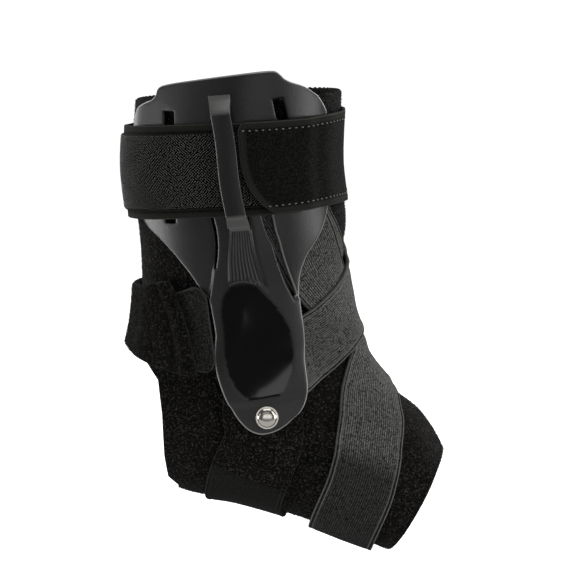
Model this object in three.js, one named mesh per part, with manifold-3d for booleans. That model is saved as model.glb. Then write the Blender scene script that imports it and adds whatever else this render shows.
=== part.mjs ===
// Ankle sleeve: a plush tube bent at the ankle, open at the toes and the heel, with crossed elastic
// straps, a band under the sole, a strap round the calf and a moulded stay up one side.
// Millimetres. +X points to the toes, +Z up the calf, and the stay is on the -Y side.
// The origin is the centre of the ankle, where the calf part meets the foot part.
import * as THREE from 'three';
import { mergeVertices } from 'three/addons/utils/BufferGeometryUtils.js';
import Module from 'manifold-3d';

const wasm = await Module();
wasm.setup();

// Sleeve
const sleeveLength = 168;
const sleeveHeight = 240;
const sleeveWidth = 88;
const sleeveWall = 3;

// The gap between a piece and what it lies on
const layGap = 0.75;

// Elastic straps and the band under the sole
const elasticWidth = 35;
const elasticThickness = 1.2;
const soleSeamGap = 6;
const stirrupWidth = 40;
const stirrupThickness = 2;

// Strap round the calf, with hook tape on its free inner end. It lies a little looser than the others.
const calfStrapWidth = 47;
const calfStrapThickness = 1.3;
const calfStrapEase = 0.2;
const hookTapeWidth = 38;
const hookTapeThickness = 0.8;
const hookTapeGap = 0.5;
const strapEndSlant = 14;

// Moulded stay
const stayLength = 186;
const stayWidth = 99;
const stayFootRadius = 22;
const stayThickness = 2;
const stayStandOff = 5.2;
const stayRidge = 1.2;
const stayDish = 1;
const railWidth = 7;
const frameFootGap = 14;
const frameFootFade = 5;
const strapSlotWidth = 5;
const strapSlotMargin = 6;
const slitWidth = 3.5;

// Bar that holds the calf strap down on the stay
const keeperWidth = 9;
const keeperThickness = 2.4;
const keeperFoot = 9;
const keeperToe = 1.8;
const keeperToeThickness = 1;
const keeperSink = 0.8;

// Rivet at the foot of the stay
const rivetHeadDiameter = 12;
const rivetHeadHeight = 2.6;
const rivetRimHeight = 0.5;
const rivetShankDiameter = 5;
const rivetClearance = 0.35;
const rivetUp = 8;
const rivetForward = 0.5;

// Flap that closes the sleeve behind the ankle, and the tab under its free edge
const heelFlapEndWidth = 48;
const heelFlapBackWidth = 34;
const heelFlapThickness = 4;
const flapTabWidth = 44;
const flapTabInnerWidth = 32;
const heelFlapCorner = 13;
const flapTabThickness = 1.2;

// How finely the pieces are divided
const sleeveSides = 32;
const sleeveRows = 24;
const stayColumns = 16;
const stayArcRows = 5;
const keeperRows = 18;
const cutterRows = 4;
const rivetSides = 14;
const domeRings = 4;
const strapStep = 7;
const walkStep = 4;
const routeSamples = 300;

// Sections of the sleeve from the calf to the toes. Places are shares of its length and height, width is
// a share of its width, square fills out the corners and taper makes the front side fuller than the back.
const sleeveSections = [
  { backX: -0.334, backZ: 0.477, frontX: 0.297, frontZ: 0.496, width: 1.0, square: 0.015, taper: 0.02 },
  { backX: -0.347, backZ: 0.336, frontX: 0.291, frontZ: 0.351, width: 0.97, square: 0.015, taper: 0.03 },
  { backX: -0.325, backZ: 0.191, frontX: 0.31, frontZ: 0.219, width: 0.94, square: 0.015, taper: 0.06 },
  { backX: -0.32, backZ: 0.069, frontX: 0.288, frontZ: 0.126, width: 0.91, square: 0.015, taper: 0.09 },
  { backX: -0.345, backZ: -0.05, frontX: 0.295, frontZ: 0.043, width: 0.9, square: 0.015, taper: 0.08 },
  { backX: -0.412, backZ: -0.173, frontX: 0.316, frontZ: -0.011, width: 0.88, square: 0.015, taper: 0.03 },
  { backX: -0.362, backZ: -0.303, frontX: 0.353, frontZ: -0.061, width: 0.86, square: 0.02, taper: 0 },
  { backX: -0.207, backZ: -0.366, frontX: 0.402, frontZ: -0.111, width: 0.86, square: 0.025, taper: -0.04 },
  { backX: -0.031, backZ: -0.388, frontX: 0.467, frontZ: -0.156, width: 0.87, square: 0.03, taper: -0.07 },
  { backX: 0.17, backZ: -0.429, frontX: 0.539, frontZ: -0.197, width: 0.88, square: 0.035, taper: -0.08 },
  { backX: 0.31, backZ: -0.466, frontX: 0.588, frontZ: -0.243, width: 0.89, square: 0.035, taper: -0.08 },
  { backX: 0.44, backZ: -0.498, frontX: 0.616, frontZ: -0.284, width: 0.9, square: 0.035, taper: -0.08 },
];

// How much of a section's squareness its front side keeps
const frontSquare = 0.3;

// Routes over the sleeve: around in degrees, 0 at the front, -90 at the middle of the stay's side and
// 180 behind, and along as a share from the calf edge to the toe edge. The calf strap's route runs a few
// degrees past its outer end.
const outerInstepRoute = [
  { around: -180, along: 0.909 },
  { around: -140, along: 0.885 },
  { around: -105, along: 0.85 },
  { around: -82, along: 0.81 },
  { around: -66, along: 0.773 },
  { around: -49, along: 0.73 },
  { around: -34, along: 0.68 },
  { around: -17, along: 0.635 },
  { around: 0, along: 0.58 },
  { around: 22, along: 0.46 },
  { around: 45, along: 0.28 },
  { around: 75, along: 0.09 },
];
const innerInstepRoute = [
  { around: 180, along: 0.909 },
  { around: 140, along: 0.885 },
  { around: 105, along: 0.85 },
  { around: 82, along: 0.81 },
  { around: 66, along: 0.76 },
  { around: 45, along: 0.67 },
  { around: 22, along: 0.54 },
  { around: 0, along: 0.42 },
  { around: -22, along: 0.34 },
  { around: -45, along: 0.25 },
  { around: -75, along: 0.09 },
];
const outerAnkleRoute = [
  { around: -68, along: 0.49 },
  { around: -35, along: 0.43 },
  { around: 0, along: 0.35 },
  { around: 35, along: 0.25 },
  { around: 60, along: 0.15 },
  { around: 75, along: 0.09 },
];
const stirrupRoute = [
  { around: -80, along: 0.54 },
  { around: -92, along: 0.615 },
  { around: -118, along: 0.68 },
  { around: -145, along: 0.722 },
  { around: -180, along: 0.75 },
  { around: -215, along: 0.722 },
  { around: -242, along: 0.68 },
  { around: -268, along: 0.615 },
  { around: -280, along: 0.54 },
];
const stayRoute = [
  { around: -86.5, along: 0.604 },
  { around: -78, along: 0.516 },
  { around: -77, along: 0.396 },
  { around: -82, along: 0.3 },
  { around: -88, along: 0.212 },
  { around: -89, along: 0.136 },
  { around: -90, along: 0.062 },
  { around: -94, along: -0.002 },
  { around: -96, along: -0.04 },
];
const strapOuterEnd = -446;
const strapSpare = 7;
const calfStrapRoute = [
  { around: -58, along: 0.088 },
  { around: -100, along: 0.09 },
  { around: -180, along: 0.097 },
  { around: -260, along: 0.09 },
  { around: -360, along: 0.083 },
  { around: strapOuterEnd - strapSpare, along: 0.088 },
];
const heelFlapRoute = [
  { around: -111, along: 0.34 },
  { around: -125, along: 0.335 },
  { around: -150, along: 0.325 },
  { around: -180, along: 0.315 },
  { around: -230, along: 0.32 },
];
const flapTabRoute = [
  { around: -102, along: 0.345 },
  { around: -120, along: 0.341 },
  { around: -140, along: 0.332 },
];

// How far the stay lies off the sleeve, clear of the straps under its front half: lift is a share of
// its greatest height
const stayLift = [
  { around: -150, lift: 0.154 },
  { around: -120, lift: 0.231 },
  { around: -105, lift: 0.365 },
  { around: -95, lift: 0.692 },
  { around: -86, lift: 1 },
  { around: -47, lift: 1 },
  { around: -38, lift: 0.731 },
  { around: -28, lift: 0.308 },
];

// Outline of the stay above its round foot: up is a share of its length, back and front are the
// shares of its width on each side of its middle line.
const stayOutline = [
  { up: 0.118, back: 0.215, front: 0.222 },
  { up: 0.175, back: 0.214, front: 0.23 },
  { up: 0.235, back: 0.214, front: 0.232 },
  { up: 0.295, back: 0.21, front: 0.225 },
  { up: 0.349, back: 0.206, front: 0.228 },
  { up: 0.392, back: 0.205, front: 0.232 },
  { up: 0.43, back: 0.25, front: 0.244 },
  { up: 0.465, back: 0.285, front: 0.28 },
  { up: 0.5, back: 0.345, front: 0.315 },
  { up: 0.538, back: 0.43, front: 0.366 },
  { up: 0.575, back: 0.5, front: 0.415 },
  { up: 0.613, back: 0.552, front: 0.452 },
  { up: 0.656, back: 0.572, front: 0.472 },
  { up: 0.71, back: 0.58, front: 0.48 },
  { up: 0.785, back: 0.588, front: 0.48 },
  { up: 0.855, back: 0.592, front: 0.48 },
];

// Top edge of the stay from back to front: across and up as shares of its width and length
const stayTop = [
  { across: 0.592, up: 0.9 },
  { across: 0.545, up: 0.925 },
  { across: 0.465, up: 0.936 },
  { across: 0.39, up: 0.948 },
  { across: 0.35, up: 0.974 },
  { across: 0.125, up: 0.984 },
  { across: -0.215, up: 0.996 },
  { across: -0.28, up: 0.962 },
  { across: -0.37, up: 0.941 },
  { across: -0.425, up: 0.909 },
  { across: -0.48, up: 0.862 },
];

// Cuts in the stay: the two slots behind the calf strap's edges and the two slits beside the neck
const strapSlots = [
  { acrossLow: 0.35, acrossHigh: 0.3 },
  { acrossLow: -0.28, acrossHigh: -0.225 },
];
const backSlit = [
  { up: 0.645, across: 0.14 },
  { up: 0.52, across: 0.14 },
  { up: 0.43, across: 0.165 },
];
const frontSlit = [
  { up: 0.645, across: -0.11 },
  { up: 0.555, across: -0.17 },
  { up: 0.48, across: -0.195 },
  { up: 0.42, across: -0.2 },
];

// The raised frame round the dish, its two rails up to the keeper, and the keeper's own line
// The dish's edge and the frame's middle line are shares of the dish's own reach.
const dish = { up: 0.254, across: -0.003, length: 0.347, width: 0.348, edge: 0.92, edgeFade: 0.15 };
const dishFrame = { middle: 1.05, fade: 0.14 };
const backRail = { lowUp: 0.42, lowAcross: 0.135, highUp: 0.6, highAcross: 0.085 };
const frontRail = { lowUp: 0.4, lowAcross: -0.14, highUp: 0.6, highAcross: -0.07 };
const keeperLine = { lowUp: 0.57, lowAcross: 0.015, highUp: 0.938, highAcross: 0.043 };

// Places round the calf in degrees, as around: how soon the strap's second lap has risen over its inner
// end, the hook tape's two ends, and the stay's two edges with the fade of the strap's rise onto them
const strapLapAngle = 12;
const hookTapeEnd = { first: -62, last: -183 };
const stayEdge = { back: -172, front: -24, fade: 18 };

// The flap tab rises onto the stay, and the heel flap onto the tab, in these angles
const tabRise = { start: -128, angle: 20 };
const heelFlapRise = { margin: 16, angle: 12 };

// Edge of the heel opening in the side view, as shares of the sleeve's length and height
const heelOpening = [
  { x: -0.55, z: -0.01 },
  { x: -0.4, z: -0.045 },
  { x: -0.3, z: -0.075 },
  { x: -0.262, z: -0.11 },
  { x: -0.25, z: -0.184 },
  { x: -0.245, z: -0.275 },
  { x: -0.235, z: -0.327 },
  { x: -0.2, z: -0.352 },
  { x: -0.25, z: -0.42 },
  { x: -0.55, z: -0.45 },
];

// Interpolation

const fullTurn = 360;

function mix(a, b, share) {
  return a + (b - a) * share;
}

function smooth(share) {
  const t = Math.min(1, Math.max(0, share));
  return t * t * (3 - 2 * t);
}

// Value of one column at x, straight between rows whose key column rises or falls steadily
function lookUp(table, key, column, x) {
  const rising = table[0][key] < table[table.length - 1][key];
  const rows = rising ? table : [...table].reverse();
  if (x <= rows[0][key]) return rows[0][column];
  for (let i = 1; i < rows.length; i += 1) {
    if (x <= rows[i][key]) {
      const share = (x - rows[i - 1][key]) / (rows[i][key] - rows[i - 1][key]);
      return mix(rows[i - 1][column], rows[i][column], share);
    }
  }
  return rows[rows.length - 1][column];
}

// Smooth curve through the rows of a table, at a share of the way along it
function curveThrough(table, share) {
  const last = table.length - 1;
  const place = Math.min(1, Math.max(0, share)) * last;
  const i = Math.min(Math.floor(place), last - 1);
  const t = place - i;
  const result = {};
  for (const column of Object.keys(table[0])) {
    const p1 = table[i][column];
    const p2 = table[i + 1][column];
    const p0 = i > 0 ? table[i - 1][column] : 2 * p1 - p2;
    const p3 = i + 2 <= last ? table[i + 2][column] : 2 * p2 - p1;
    const bend = (2 * p0 - 5 * p1 + 4 * p2 - p3) * t * t + (3 * p1 - p0 - 3 * p2 + p3) * t * t * t;
    result[column] = 0.5 * (2 * p1 + (p2 - p0) * t + bend);
  }
  return result;
}

// Form of the sleeve

function sectionAt(along) {
  const section = curveThrough(sleeveSections, along);
  const beyond = (along - Math.min(1, Math.max(0, along))) * (sleeveSections.length - 1);
  if (beyond !== 0) {
    const edge = beyond < 0 ? 0 : sleeveSections.length - 2;
    for (const column of ['backX', 'backZ', 'frontX', 'frontZ']) {
      section[column] += (sleeveSections[edge + 1][column] - sleeveSections[edge][column]) * beyond;
    }
  }
  return section;
}

function formPoint({ around, along }) {
  const section = sectionAt(along);
  const angle = THREE.MathUtils.degToRad(around);
  const corner = section.square * mix(frontSquare, 1, (1 - Math.cos(angle)) / 2);
  const forward = (Math.cos(angle) - corner * Math.cos(3 * angle)) / (1 - corner);
  const fullness = 1 + section.taper * Math.cos(angle);
  const sideways = ((Math.sin(angle) + corner * Math.sin(3 * angle)) / (1 - corner)) * fullness;
  const middleX = (section.backX + section.frontX) / 2;
  const middleZ = (section.backZ + section.frontZ) / 2;
  const reachX = (section.frontX - section.backX) / 2;
  const reachZ = (section.frontZ - section.backZ) / 2;
  return new THREE.Vector3(
    (middleX + reachX * forward) * sleeveLength,
    (section.width * sleeveWidth * sideways) / 2,
    (middleZ + reachZ * forward) * sleeveHeight,
  );
}

// Directions on the form for one degree around and for the whole length along, and the way out
function formFrame({ around, along }) {
  const turn = 0.5;
  const shift = 0.002;
  const ahead = formPoint({ around: around + turn, along });
  const behind = formPoint({ around: around - turn, along });
  const below = formPoint({ around, along: along + shift });
  const above = formPoint({ around, along: along - shift });
  const acrossStep = ahead.sub(behind).divideScalar(2 * turn);
  const alongStep = below.sub(above).divideScalar(2 * shift);
  const outward = new THREE.Vector3().crossVectors(alongStep, acrossStep).normalize();
  return { acrossStep, alongStep, outward };
}

function liftedPoint(spot, height) {
  return formPoint(spot).addScaledVector(formFrame(spot).outward, height);
}

// The spot that a short straight move over the form leads to
function stepOver(spot, frame, move) {
  const { acrossStep, alongStep } = frame;
  const a = acrossStep.dot(acrossStep);
  const b = acrossStep.dot(alongStep);
  const c = alongStep.dot(alongStep);
  const e = acrossStep.dot(move);
  const f = alongStep.dot(move);
  const scale = a * c - b * b;
  return { around: spot.around + (c * e - b * f) / scale, along: spot.along + (a * f - b * e) / scale };
}

function headingOn(frame, heading) {
  return heading.clone().projectOnPlane(frame.outward).normalize();
}

// The spot reached by walking straight over the form for a distance
function walkFrom(spot, heading, distance) {
  const steps = Math.max(1, Math.ceil(Math.abs(distance) / walkStep));
  const step = distance / steps;
  let place = spot;
  let direction = heading;
  for (let i = 0; i < steps; i += 1) {
    const startFrame = formFrame(place);
    direction = headingOn(startFrame, direction);
    const halfway = stepOver(place, startFrame, direction.clone().multiplyScalar(step / 2));
    direction = headingOn(formFrame(halfway), direction);
    place = stepOver(place, formFrame(halfway), direction.clone().multiplyScalar(step));
  }
  return place;
}

// Routes

function makeRoute(table) {
  const spots = [];
  const lengths = [0];
  let before = null;
  for (let i = 0; i <= routeSamples; i += 1) {
    const spot = curveThrough(table, i / routeSamples);
    const point = formPoint(spot);
    if (before) lengths.push(lengths[i - 1] + point.distanceTo(before));
    spots.push({ ...spot, point });
    before = point;
  }
  return { spots, lengths, length: lengths[routeSamples] };
}

function routeSpot(route, distance) {
  const { spots, lengths } = route;
  let i = lengths.findIndex((length) => length > distance);
  if (i < 0) i = routeSamples;
  if (i === 0) i = 1;
  const share = (distance - lengths[i - 1]) / (lengths[i] - lengths[i - 1]);
  return {
    around: mix(spots[i - 1].around, spots[i].around, share),
    along: mix(spots[i - 1].along, spots[i].along, share),
  };
}

// The spot at a distance along a route and an offset to its left, seen from outside
function besideRoute(route, distance, offset) {
  const reach = 1;
  const spot = routeSpot(route, distance);
  const ahead = formPoint(routeSpot(route, distance + reach));
  const behind = formPoint(routeSpot(route, distance - reach));
  const heading = new THREE.Vector3().crossVectors(formFrame(spot).outward, ahead.sub(behind));
  return walkFrom(spot, heading.normalize(), offset);
}

// Share of a strap's thickness that a piece over it has to clear at a spot: all of it over the strap
// and a little beyond its edge, then less and less
function coverShare(spot, strap) {
  const margin = 4;
  const fade = 9;
  const point = formPoint(spot);
  let nearest = Infinity;
  for (const sample of strap.route.spots) {
    nearest = Math.min(nearest, sample.point.distanceTo(point));
  }
  return 1 - smooth((nearest - strap.width / 2 - margin) / fade);
}

function clearOf(straps) {
  return (spot) => {
    let height = layGap;
    for (const strap of straps) {
      height += (strap.thickness + layGap) * coverShare(spot, strap);
    }
    return height;
  };
}

// Closed bodies

function closedGeometry(points, triangles) {
  const geometry = new THREE.BufferGeometry();
  const positions = new Float32Array(points.flatMap((p) => [p.x, p.y, p.z]));
  let volume = 0;
  for (const [a, b, c] of triangles) {
    volume += points[a].dot(new THREE.Vector3().crossVectors(points[b], points[c]));
  }
  const outward = volume > 0 ? triangles : triangles.map(([a, b, c]) => [a, c, b]);
  geometry.setAttribute('position', new THREE.BufferAttribute(positions, 3));
  geometry.setIndex(outward.flat());
  return geometry;
}

// A slab over a grid of spots, from its under height to its over height above the form
function laidSlab({ rows, columns, spotAt, under, over }) {
  const points = [];
  const index = (layer, i, j) => (layer * (rows + 1) + i) * (columns + 1) + j;
  for (const height of [under, over]) {
    for (let i = 0; i <= rows; i += 1) {
      for (let j = 0; j <= columns; j += 1) {
        const spot = spotAt(i / rows, j / columns);
        points.push(liftedPoint(spot, height(spot, i / rows, j / columns)));
      }
    }
  }
  const triangles = [];
  const quad = (a, b, c, d) => triangles.push([a, b, c], [a, c, d]);
  for (let i = 0; i < rows; i += 1) {
    for (let j = 0; j < columns; j += 1) {
      quad(index(1, i, j), index(1, i, j + 1), index(1, i + 1, j + 1), index(1, i + 1, j));
      quad(index(0, i, j), index(0, i + 1, j), index(0, i + 1, j + 1), index(0, i, j + 1));
    }
  }
  for (let i = 0; i < rows; i += 1) {
    quad(index(0, i, 0), index(1, i, 0), index(1, i + 1, 0), index(0, i + 1, 0));
    quad(index(0, i, columns), index(0, i + 1, columns), index(1, i + 1, columns), index(1, i, columns));
  }
  for (let j = 0; j < columns; j += 1) {
    quad(index(0, 0, j), index(0, 0, j + 1), index(1, 0, j + 1), index(1, 0, j));
    quad(index(0, rows, j), index(1, rows, j), index(1, rows, j + 1), index(0, rows, j + 1));
  }
  return closedGeometry(points, triangles);
}

function asFunction(value) {
  return typeof value === 'function' ? value : () => value;
}

// A strap of even thickness along a route; its width and its two ends may change across it
function laidStrap({
  route,
  width,
  thickness,
  under,
  columns = 5,
  step = strapStep,
  from = 0,
  to = route.length,
}) {
  const [start, end, widthAt] = [from, to, width].map(asFunction);
  const rows = Math.ceil((end(0.5) - start(0.5)) / step);
  return laidSlab({
    rows,
    columns,
    spotAt: (s, t) => besideRoute(route, mix(start(t), end(t), s), (t - 0.5) * widthAt(s)),
    under,
    over: (spot, s, t) => under(spot, s, t) + thickness,
  });
}

function toSolid(geometry) {
  const bare = geometry.clone();
  bare.deleteAttribute('normal');
  bare.deleteAttribute('uv');
  const merged = mergeVertices(bare);
  return new wasm.Manifold(
    new wasm.Mesh({
      numProp: 3,
      vertProperties: merged.attributes.position.array,
      triVerts: new Uint32Array(merged.index.array),
    }),
  );
}

function fromSolid(solid) {
  const mesh = solid.getMesh();
  const geometry = new THREE.BufferGeometry();
  geometry.setAttribute('position', new THREE.BufferAttribute(mesh.vertProperties, 3));
  geometry.setIndex(new THREE.BufferAttribute(mesh.triVerts, 1));
  return geometry;
}

function cutAway(geometry, cutters) {
  let solid = toSolid(geometry);
  for (const cutter of cutters) solid = solid.subtract(toSolid(cutter));
  return fromSolid(solid);
}

// Materials

const finishes = {
  plush: { color: '#171615', roughness: 0.95, metalness: 0 },
  elastic: { color: '#323433', roughness: 0.85, metalness: 0 },
  loopCloth: { color: '#232321', roughness: 0.9, metalness: 0 },
  hookTape: { color: '#141414', roughness: 0.6, metalness: 0 },
  mouldedPlastic: { color: '#3a3a3c', roughness: 0.45, metalness: 0 },
  nickel: { color: '#c9c6bd', roughness: 0.2, metalness: 1 },
};

function namedMesh(name, geometry, finish) {
  geometry.computeVertexNormals();
  const mesh = new THREE.Mesh(geometry, new THREE.MeshStandardMaterial(finishes[finish]));
  mesh.name = name;
  return mesh;
}

// Sleeve

function sleeveTube() {
  const points = [];
  const triangles = [];
  const index = (layer, i, j) => (layer * (sleeveRows + 1) + i) * sleeveSides + (j % sleeveSides);
  for (const height of [0, -sleeveWall]) {
    for (let i = 0; i <= sleeveRows; i += 1) {
      for (let j = 0; j < sleeveSides; j += 1) {
        const around = (fullTurn * j) / sleeveSides;
        points.push(liftedPoint({ around, along: i / sleeveRows }, height));
      }
    }
  }
  const quad = (a, b, c, d) => triangles.push([a, b, c], [a, c, d]);
  for (let j = 0; j < sleeveSides; j += 1) {
    for (let i = 0; i < sleeveRows; i += 1) {
      quad(index(0, i, j), index(0, i + 1, j), index(0, i + 1, j + 1), index(0, i, j + 1));
      quad(index(1, i, j), index(1, i, j + 1), index(1, i + 1, j + 1), index(1, i + 1, j));
    }
    quad(index(0, 0, j), index(0, 0, j + 1), index(1, 0, j + 1), index(1, 0, j));
    const last = sleeveRows;
    quad(index(0, last, j), index(1, last, j), index(1, last, j + 1), index(0, last, j + 1));
  }
  return closedGeometry(points, triangles);
}

function heelCutter() {
  const outline = new THREE.Shape(
    heelOpening.map(({ x, z }) => new THREE.Vector2(x * sleeveLength, z * sleeveHeight)),
  );
  const depth = 2 * sleeveWidth;
  const geometry = new THREE.ExtrudeGeometry(outline, { depth, bevelEnabled: false, curveSegments: 1 });
  geometry.rotateX(Math.PI / 2);
  geometry.translate(0, depth / 2, 0);
  return geometry;
}

const sleeve = namedMesh('sleeve', cutAway(sleeveTube(), [heelCutter()]), 'plush');

// Straps, from the sleeve outwards

function mirrored(table) {
  return table.map(({ around, along }) => ({ around: -around, along }));
}

const stirrup = {
  route: makeRoute(stirrupRoute),
  width: stirrupWidth,
  thickness: stirrupThickness,
};
const elastic = (table) => ({
  route: makeRoute(table),
  width: elasticWidth,
  thickness: elasticThickness,
});
const innerAnkle = elastic(mirrored(outerAnkleRoute));
const innerInstep = elastic(innerInstepRoute);
const outerInstep = elastic(outerInstepRoute);
const outerAnkle = elastic(outerAnkleRoute);
const calfStrap = {
  route: makeRoute(calfStrapRoute),
  width: calfStrapWidth,
  thickness: calfStrapThickness,
};

function strapMesh(name, strap, below, finish, from = 0) {
  return namedMesh(name, laidStrap({ ...strap, from, under: clearOf(below) }), finish);
}

// Stay

const stayLine = makeRoute(stayRoute);

function staySpot(up, across) {
  return besideRoute(stayLine, up * stayLine.length, across * stayWidth);
}

function stayUnder(spot) {
  return stayStandOff * lookUp(stayLift, 'around', 'lift', spot.around);
}

function stayOver(spot) {
  return stayUnder(spot) + stayThickness;
}

// Height of the raised frame, less the dish, at a place on the stay
function stayRelief(up, across) {
  const upShare = (up - dish.up) / (dish.length / 2);
  const acrossShare = (across - dish.across) / (dish.width / 2);
  const reach = Math.hypot(upShare, acrossShare);
  const aboveFoot = smooth((up * stayLength - frameFootGap) / frameFootFade);
  const ring = smooth(1 - Math.abs(reach - dishFrame.middle) / dishFrame.fade) * aboveFoot;
  const rails = [backRail, frontRail].map((rail) => {
    const share = (up - rail.lowUp) / (rail.highUp - rail.lowUp);
    if (share < 0 || share > 1) return 0;
    const middle = mix(rail.lowAcross, rail.highAcross, share);
    const fromMiddle = Math.abs(across - middle) * stayWidth;
    return smooth((railWidth / 2 - fromMiddle) / (railWidth / 2) + 0.5);
  });
  return stayRidge * Math.max(ring, ...rails) - stayDish * smooth((dish.edge - reach) / dish.edgeFade);
}

// Rows of the stay from its round foot up
function stayRows() {
  const firstAngle = 16;
  const lastAngle = 76;
  const rows = [];
  for (let i = 0; i <= stayArcRows; i += 1) {
    const angle = THREE.MathUtils.degToRad(mix(firstAngle, lastAngle, i / stayArcRows));
    const half = (stayFootRadius * Math.sin(angle)) / stayWidth;
    rows.push({ up: (stayFootRadius * (1 - Math.cos(angle))) / stayLength, back: half, front: half });
  }
  return [...rows, ...stayOutline];
}

function stayPlate() {
  const outline = stayRows();
  const rows = outline.length;
  const place = (s, t) => {
    const i = Math.round(s * rows);
    const row = outline[Math.min(i, rows - 1)];
    const across = mix(row.back, -row.front, t);
    return { up: i === rows ? lookUp(stayTop, 'across', 'up', across) : row.up, across };
  };
  return laidSlab({
    rows,
    columns: stayColumns,
    spotAt: (s, t) => {
      const { up, across } = place(s, t);
      return staySpot(up, across);
    },
    under: stayUnder,
    over: (spot, s, t) => {
      const { up, across } = place(s, t);
      return stayOver(spot) + stayRelief(up, across);
    },
  });
}

// A narrow cutter that goes right through the stay, along rows of up and across
function stayCutter(line, width) {
  const spare = 2;
  return laidSlab({
    rows: cutterRows,
    columns: 1,
    spotAt: (s, t) => {
      const { up, across } = curveThrough(line, s);
      return staySpot(up, across + ((t - 0.5) * width) / stayWidth);
    },
    under: (spot) => stayUnder(spot) - spare,
    over: (spot) => stayOver(spot) + stayRidge + spare,
  });
}

// How far up the stay the calf strap's middle line crosses it, as a share of its length
function strapCrossing() {
  const strapAlong = calfStrapRoute[1].along;
  const i = stayLine.spots.findIndex((spot) => spot.along <= strapAlong);
  return stayLine.lengths[i] / stayLine.length;
}

function strapSlotCutter({ acrossLow, acrossHigh }) {
  const strapMiddle = strapCrossing();
  const half = (calfStrapWidth / 2 + strapSlotMargin) / stayLength;
  const line = [
    { up: strapMiddle - half, across: acrossLow },
    { up: strapMiddle + half, across: acrossHigh },
  ];
  return stayCutter(line, strapSlotWidth);
}

// The keeper stands on a foot at each end and bridges the calf strap and its hook tape
function keeperBar() {
  const rise = calfStrapThickness + hookTapeThickness + hookTapeGap + 2 * layGap;
  const length = (keeperLine.highUp - keeperLine.lowUp) * stayLength;
  const toeRise = keeperThickness - keeperToeThickness;
  const level = (share, foot) => {
    const fromEnd = Math.min(share, 1 - share) * length;
    return smooth((fromEnd - keeperToe) / (foot - keeperToe));
  };
  return laidSlab({
    rows: keeperRows,
    columns: 2,
    spotAt: (s, t) => {
      const across = mix(keeperLine.lowAcross, keeperLine.highAcross, s);
      const up = mix(keeperLine.lowUp, keeperLine.highUp, s);
      return staySpot(up, across + ((t - 0.5) * keeperWidth) / stayWidth);
    },
    under: (spot, s) => stayOver(spot) - keeperSink + (rise + keeperSink) * level(s, keeperFoot),
    over: (spot, s) => {
      const bridge = (rise + toeRise) * level(s, keeperFoot - keeperThickness);
      return stayOver(spot) + keeperToeThickness + bridge;
    },
  });
}

const rivetPlace = { up: rivetUp / stayLength, across: -rivetForward / stayWidth };

// A body turned about its own axis, standing on the form at a spot
function standAt(geometry, spot) {
  const ownAxis = new THREE.Vector3(0, 1, 0);
  const turn = new THREE.Quaternion().setFromUnitVectors(ownAxis, formFrame(spot).outward);
  geometry.applyQuaternion(turn);
  const point = formPoint(spot);
  geometry.translate(point.x, point.y, point.z);
  return geometry;
}

function rivetBody() {
  const spot = staySpot(rivetPlace.up, rivetPlace.across);
  const seat = stayOver(spot) + layGap;
  const headRadius = rivetHeadDiameter / 2;
  const shankRadius = rivetShankDiameter / 2;
  const shankEnd = layGap + stirrupThickness / 2;
  const profile = [
    new THREE.Vector2(0, shankEnd),
    new THREE.Vector2(shankRadius, shankEnd),
    new THREE.Vector2(shankRadius, seat),
    new THREE.Vector2(headRadius, seat),
  ];
  for (let i = 0; i < domeRings; i += 1) {
    const angle = (i / domeRings) * (Math.PI / 2);
    const height = seat + mix(rivetRimHeight, rivetHeadHeight, Math.sin(angle));
    profile.push(new THREE.Vector2(headRadius * Math.cos(angle), height));
  }
  profile.push(new THREE.Vector2(0, seat + rivetHeadHeight));
  return standAt(new THREE.LatheGeometry(profile, rivetSides), spot);
}

function rivetHole() {
  const radius = rivetShankDiameter / 2 + rivetClearance;
  const below = 1;
  const above = 19;
  const geometry = new THREE.CylinderGeometry(radius, radius, above + below, rivetSides);
  geometry.translate(0, (above - below) / 2, 0);
  return standAt(geometry, staySpot(rivetPlace.up, rivetPlace.across));
}

function stayShell() {
  const cutters = [
    ...strapSlots.map(strapSlotCutter),
    stayCutter(backSlit, slitWidth),
    stayCutter(frontSlit, slitWidth),
    rivetHole(),
  ];
  const plate = toSolid(cutAway(stayPlate(), cutters));
  return fromSolid(plate.add(toSolid(keeperBar())));
}

// Calf strap: its inner end lies on the stay under the keeper, it goes once round the calf, and its
// outer end comes back over the stay and fastens on the hook tape

const belowCalfStrap = clearOf([innerAnkle, innerInstep, outerInstep, outerAnkle]);

// Height of the strap over the straps below it and, within the stay's edges, over the stay
function overStay(spot, around) {
  const inside = Math.min(around - stayEdge.back, stayEdge.front - around);
  const share = smooth(1 + inside / stayEdge.fade);
  const below = belowCalfStrap(spot) + calfStrapEase;
  return mix(below, Math.max(stayOver({ around }) + layGap, below), share);
}

function calfStrapUnder(spot) {
  if (spot.around >= -fullTurn) return overStay(spot, spot.around);
  const around = spot.around + fullTurn;
  const innerEnd = calfStrapRoute[0].around;
  const overFirstLap = smooth((innerEnd + strapLapAngle - around) / strapLapAngle);
  const lapHeight = calfStrapThickness + hookTapeThickness + hookTapeGap + layGap;
  return overStay(spot, around) + lapHeight * overFirstLap;
}

function distanceAtAround(route, around) {
  const i = route.spots.findIndex((spot) => spot.around <= around);
  return route.lengths[i];
}

function calfStrapBody() {
  const topEnd = distanceAtAround(calfStrap.route, strapOuterEnd);
  return laidStrap({
    ...calfStrap,
    columns: 4,
    step: 6,
    to: (t) => topEnd - strapEndSlant * t ** 4,
    under: calfStrapUnder,
  });
}

function hookTapeBody() {
  return laidStrap({
    route: calfStrap.route,
    width: hookTapeWidth,
    thickness: hookTapeThickness,
    columns: 4,
    step: 5,
    from: distanceAtAround(calfStrap.route, hookTapeEnd.first),
    to: distanceAtAround(calfStrap.route, hookTapeEnd.last),
    under: (spot) => calfStrapUnder(spot) + calfStrapThickness + hookTapeGap,
  });
}

// Heel flap and tab

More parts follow.
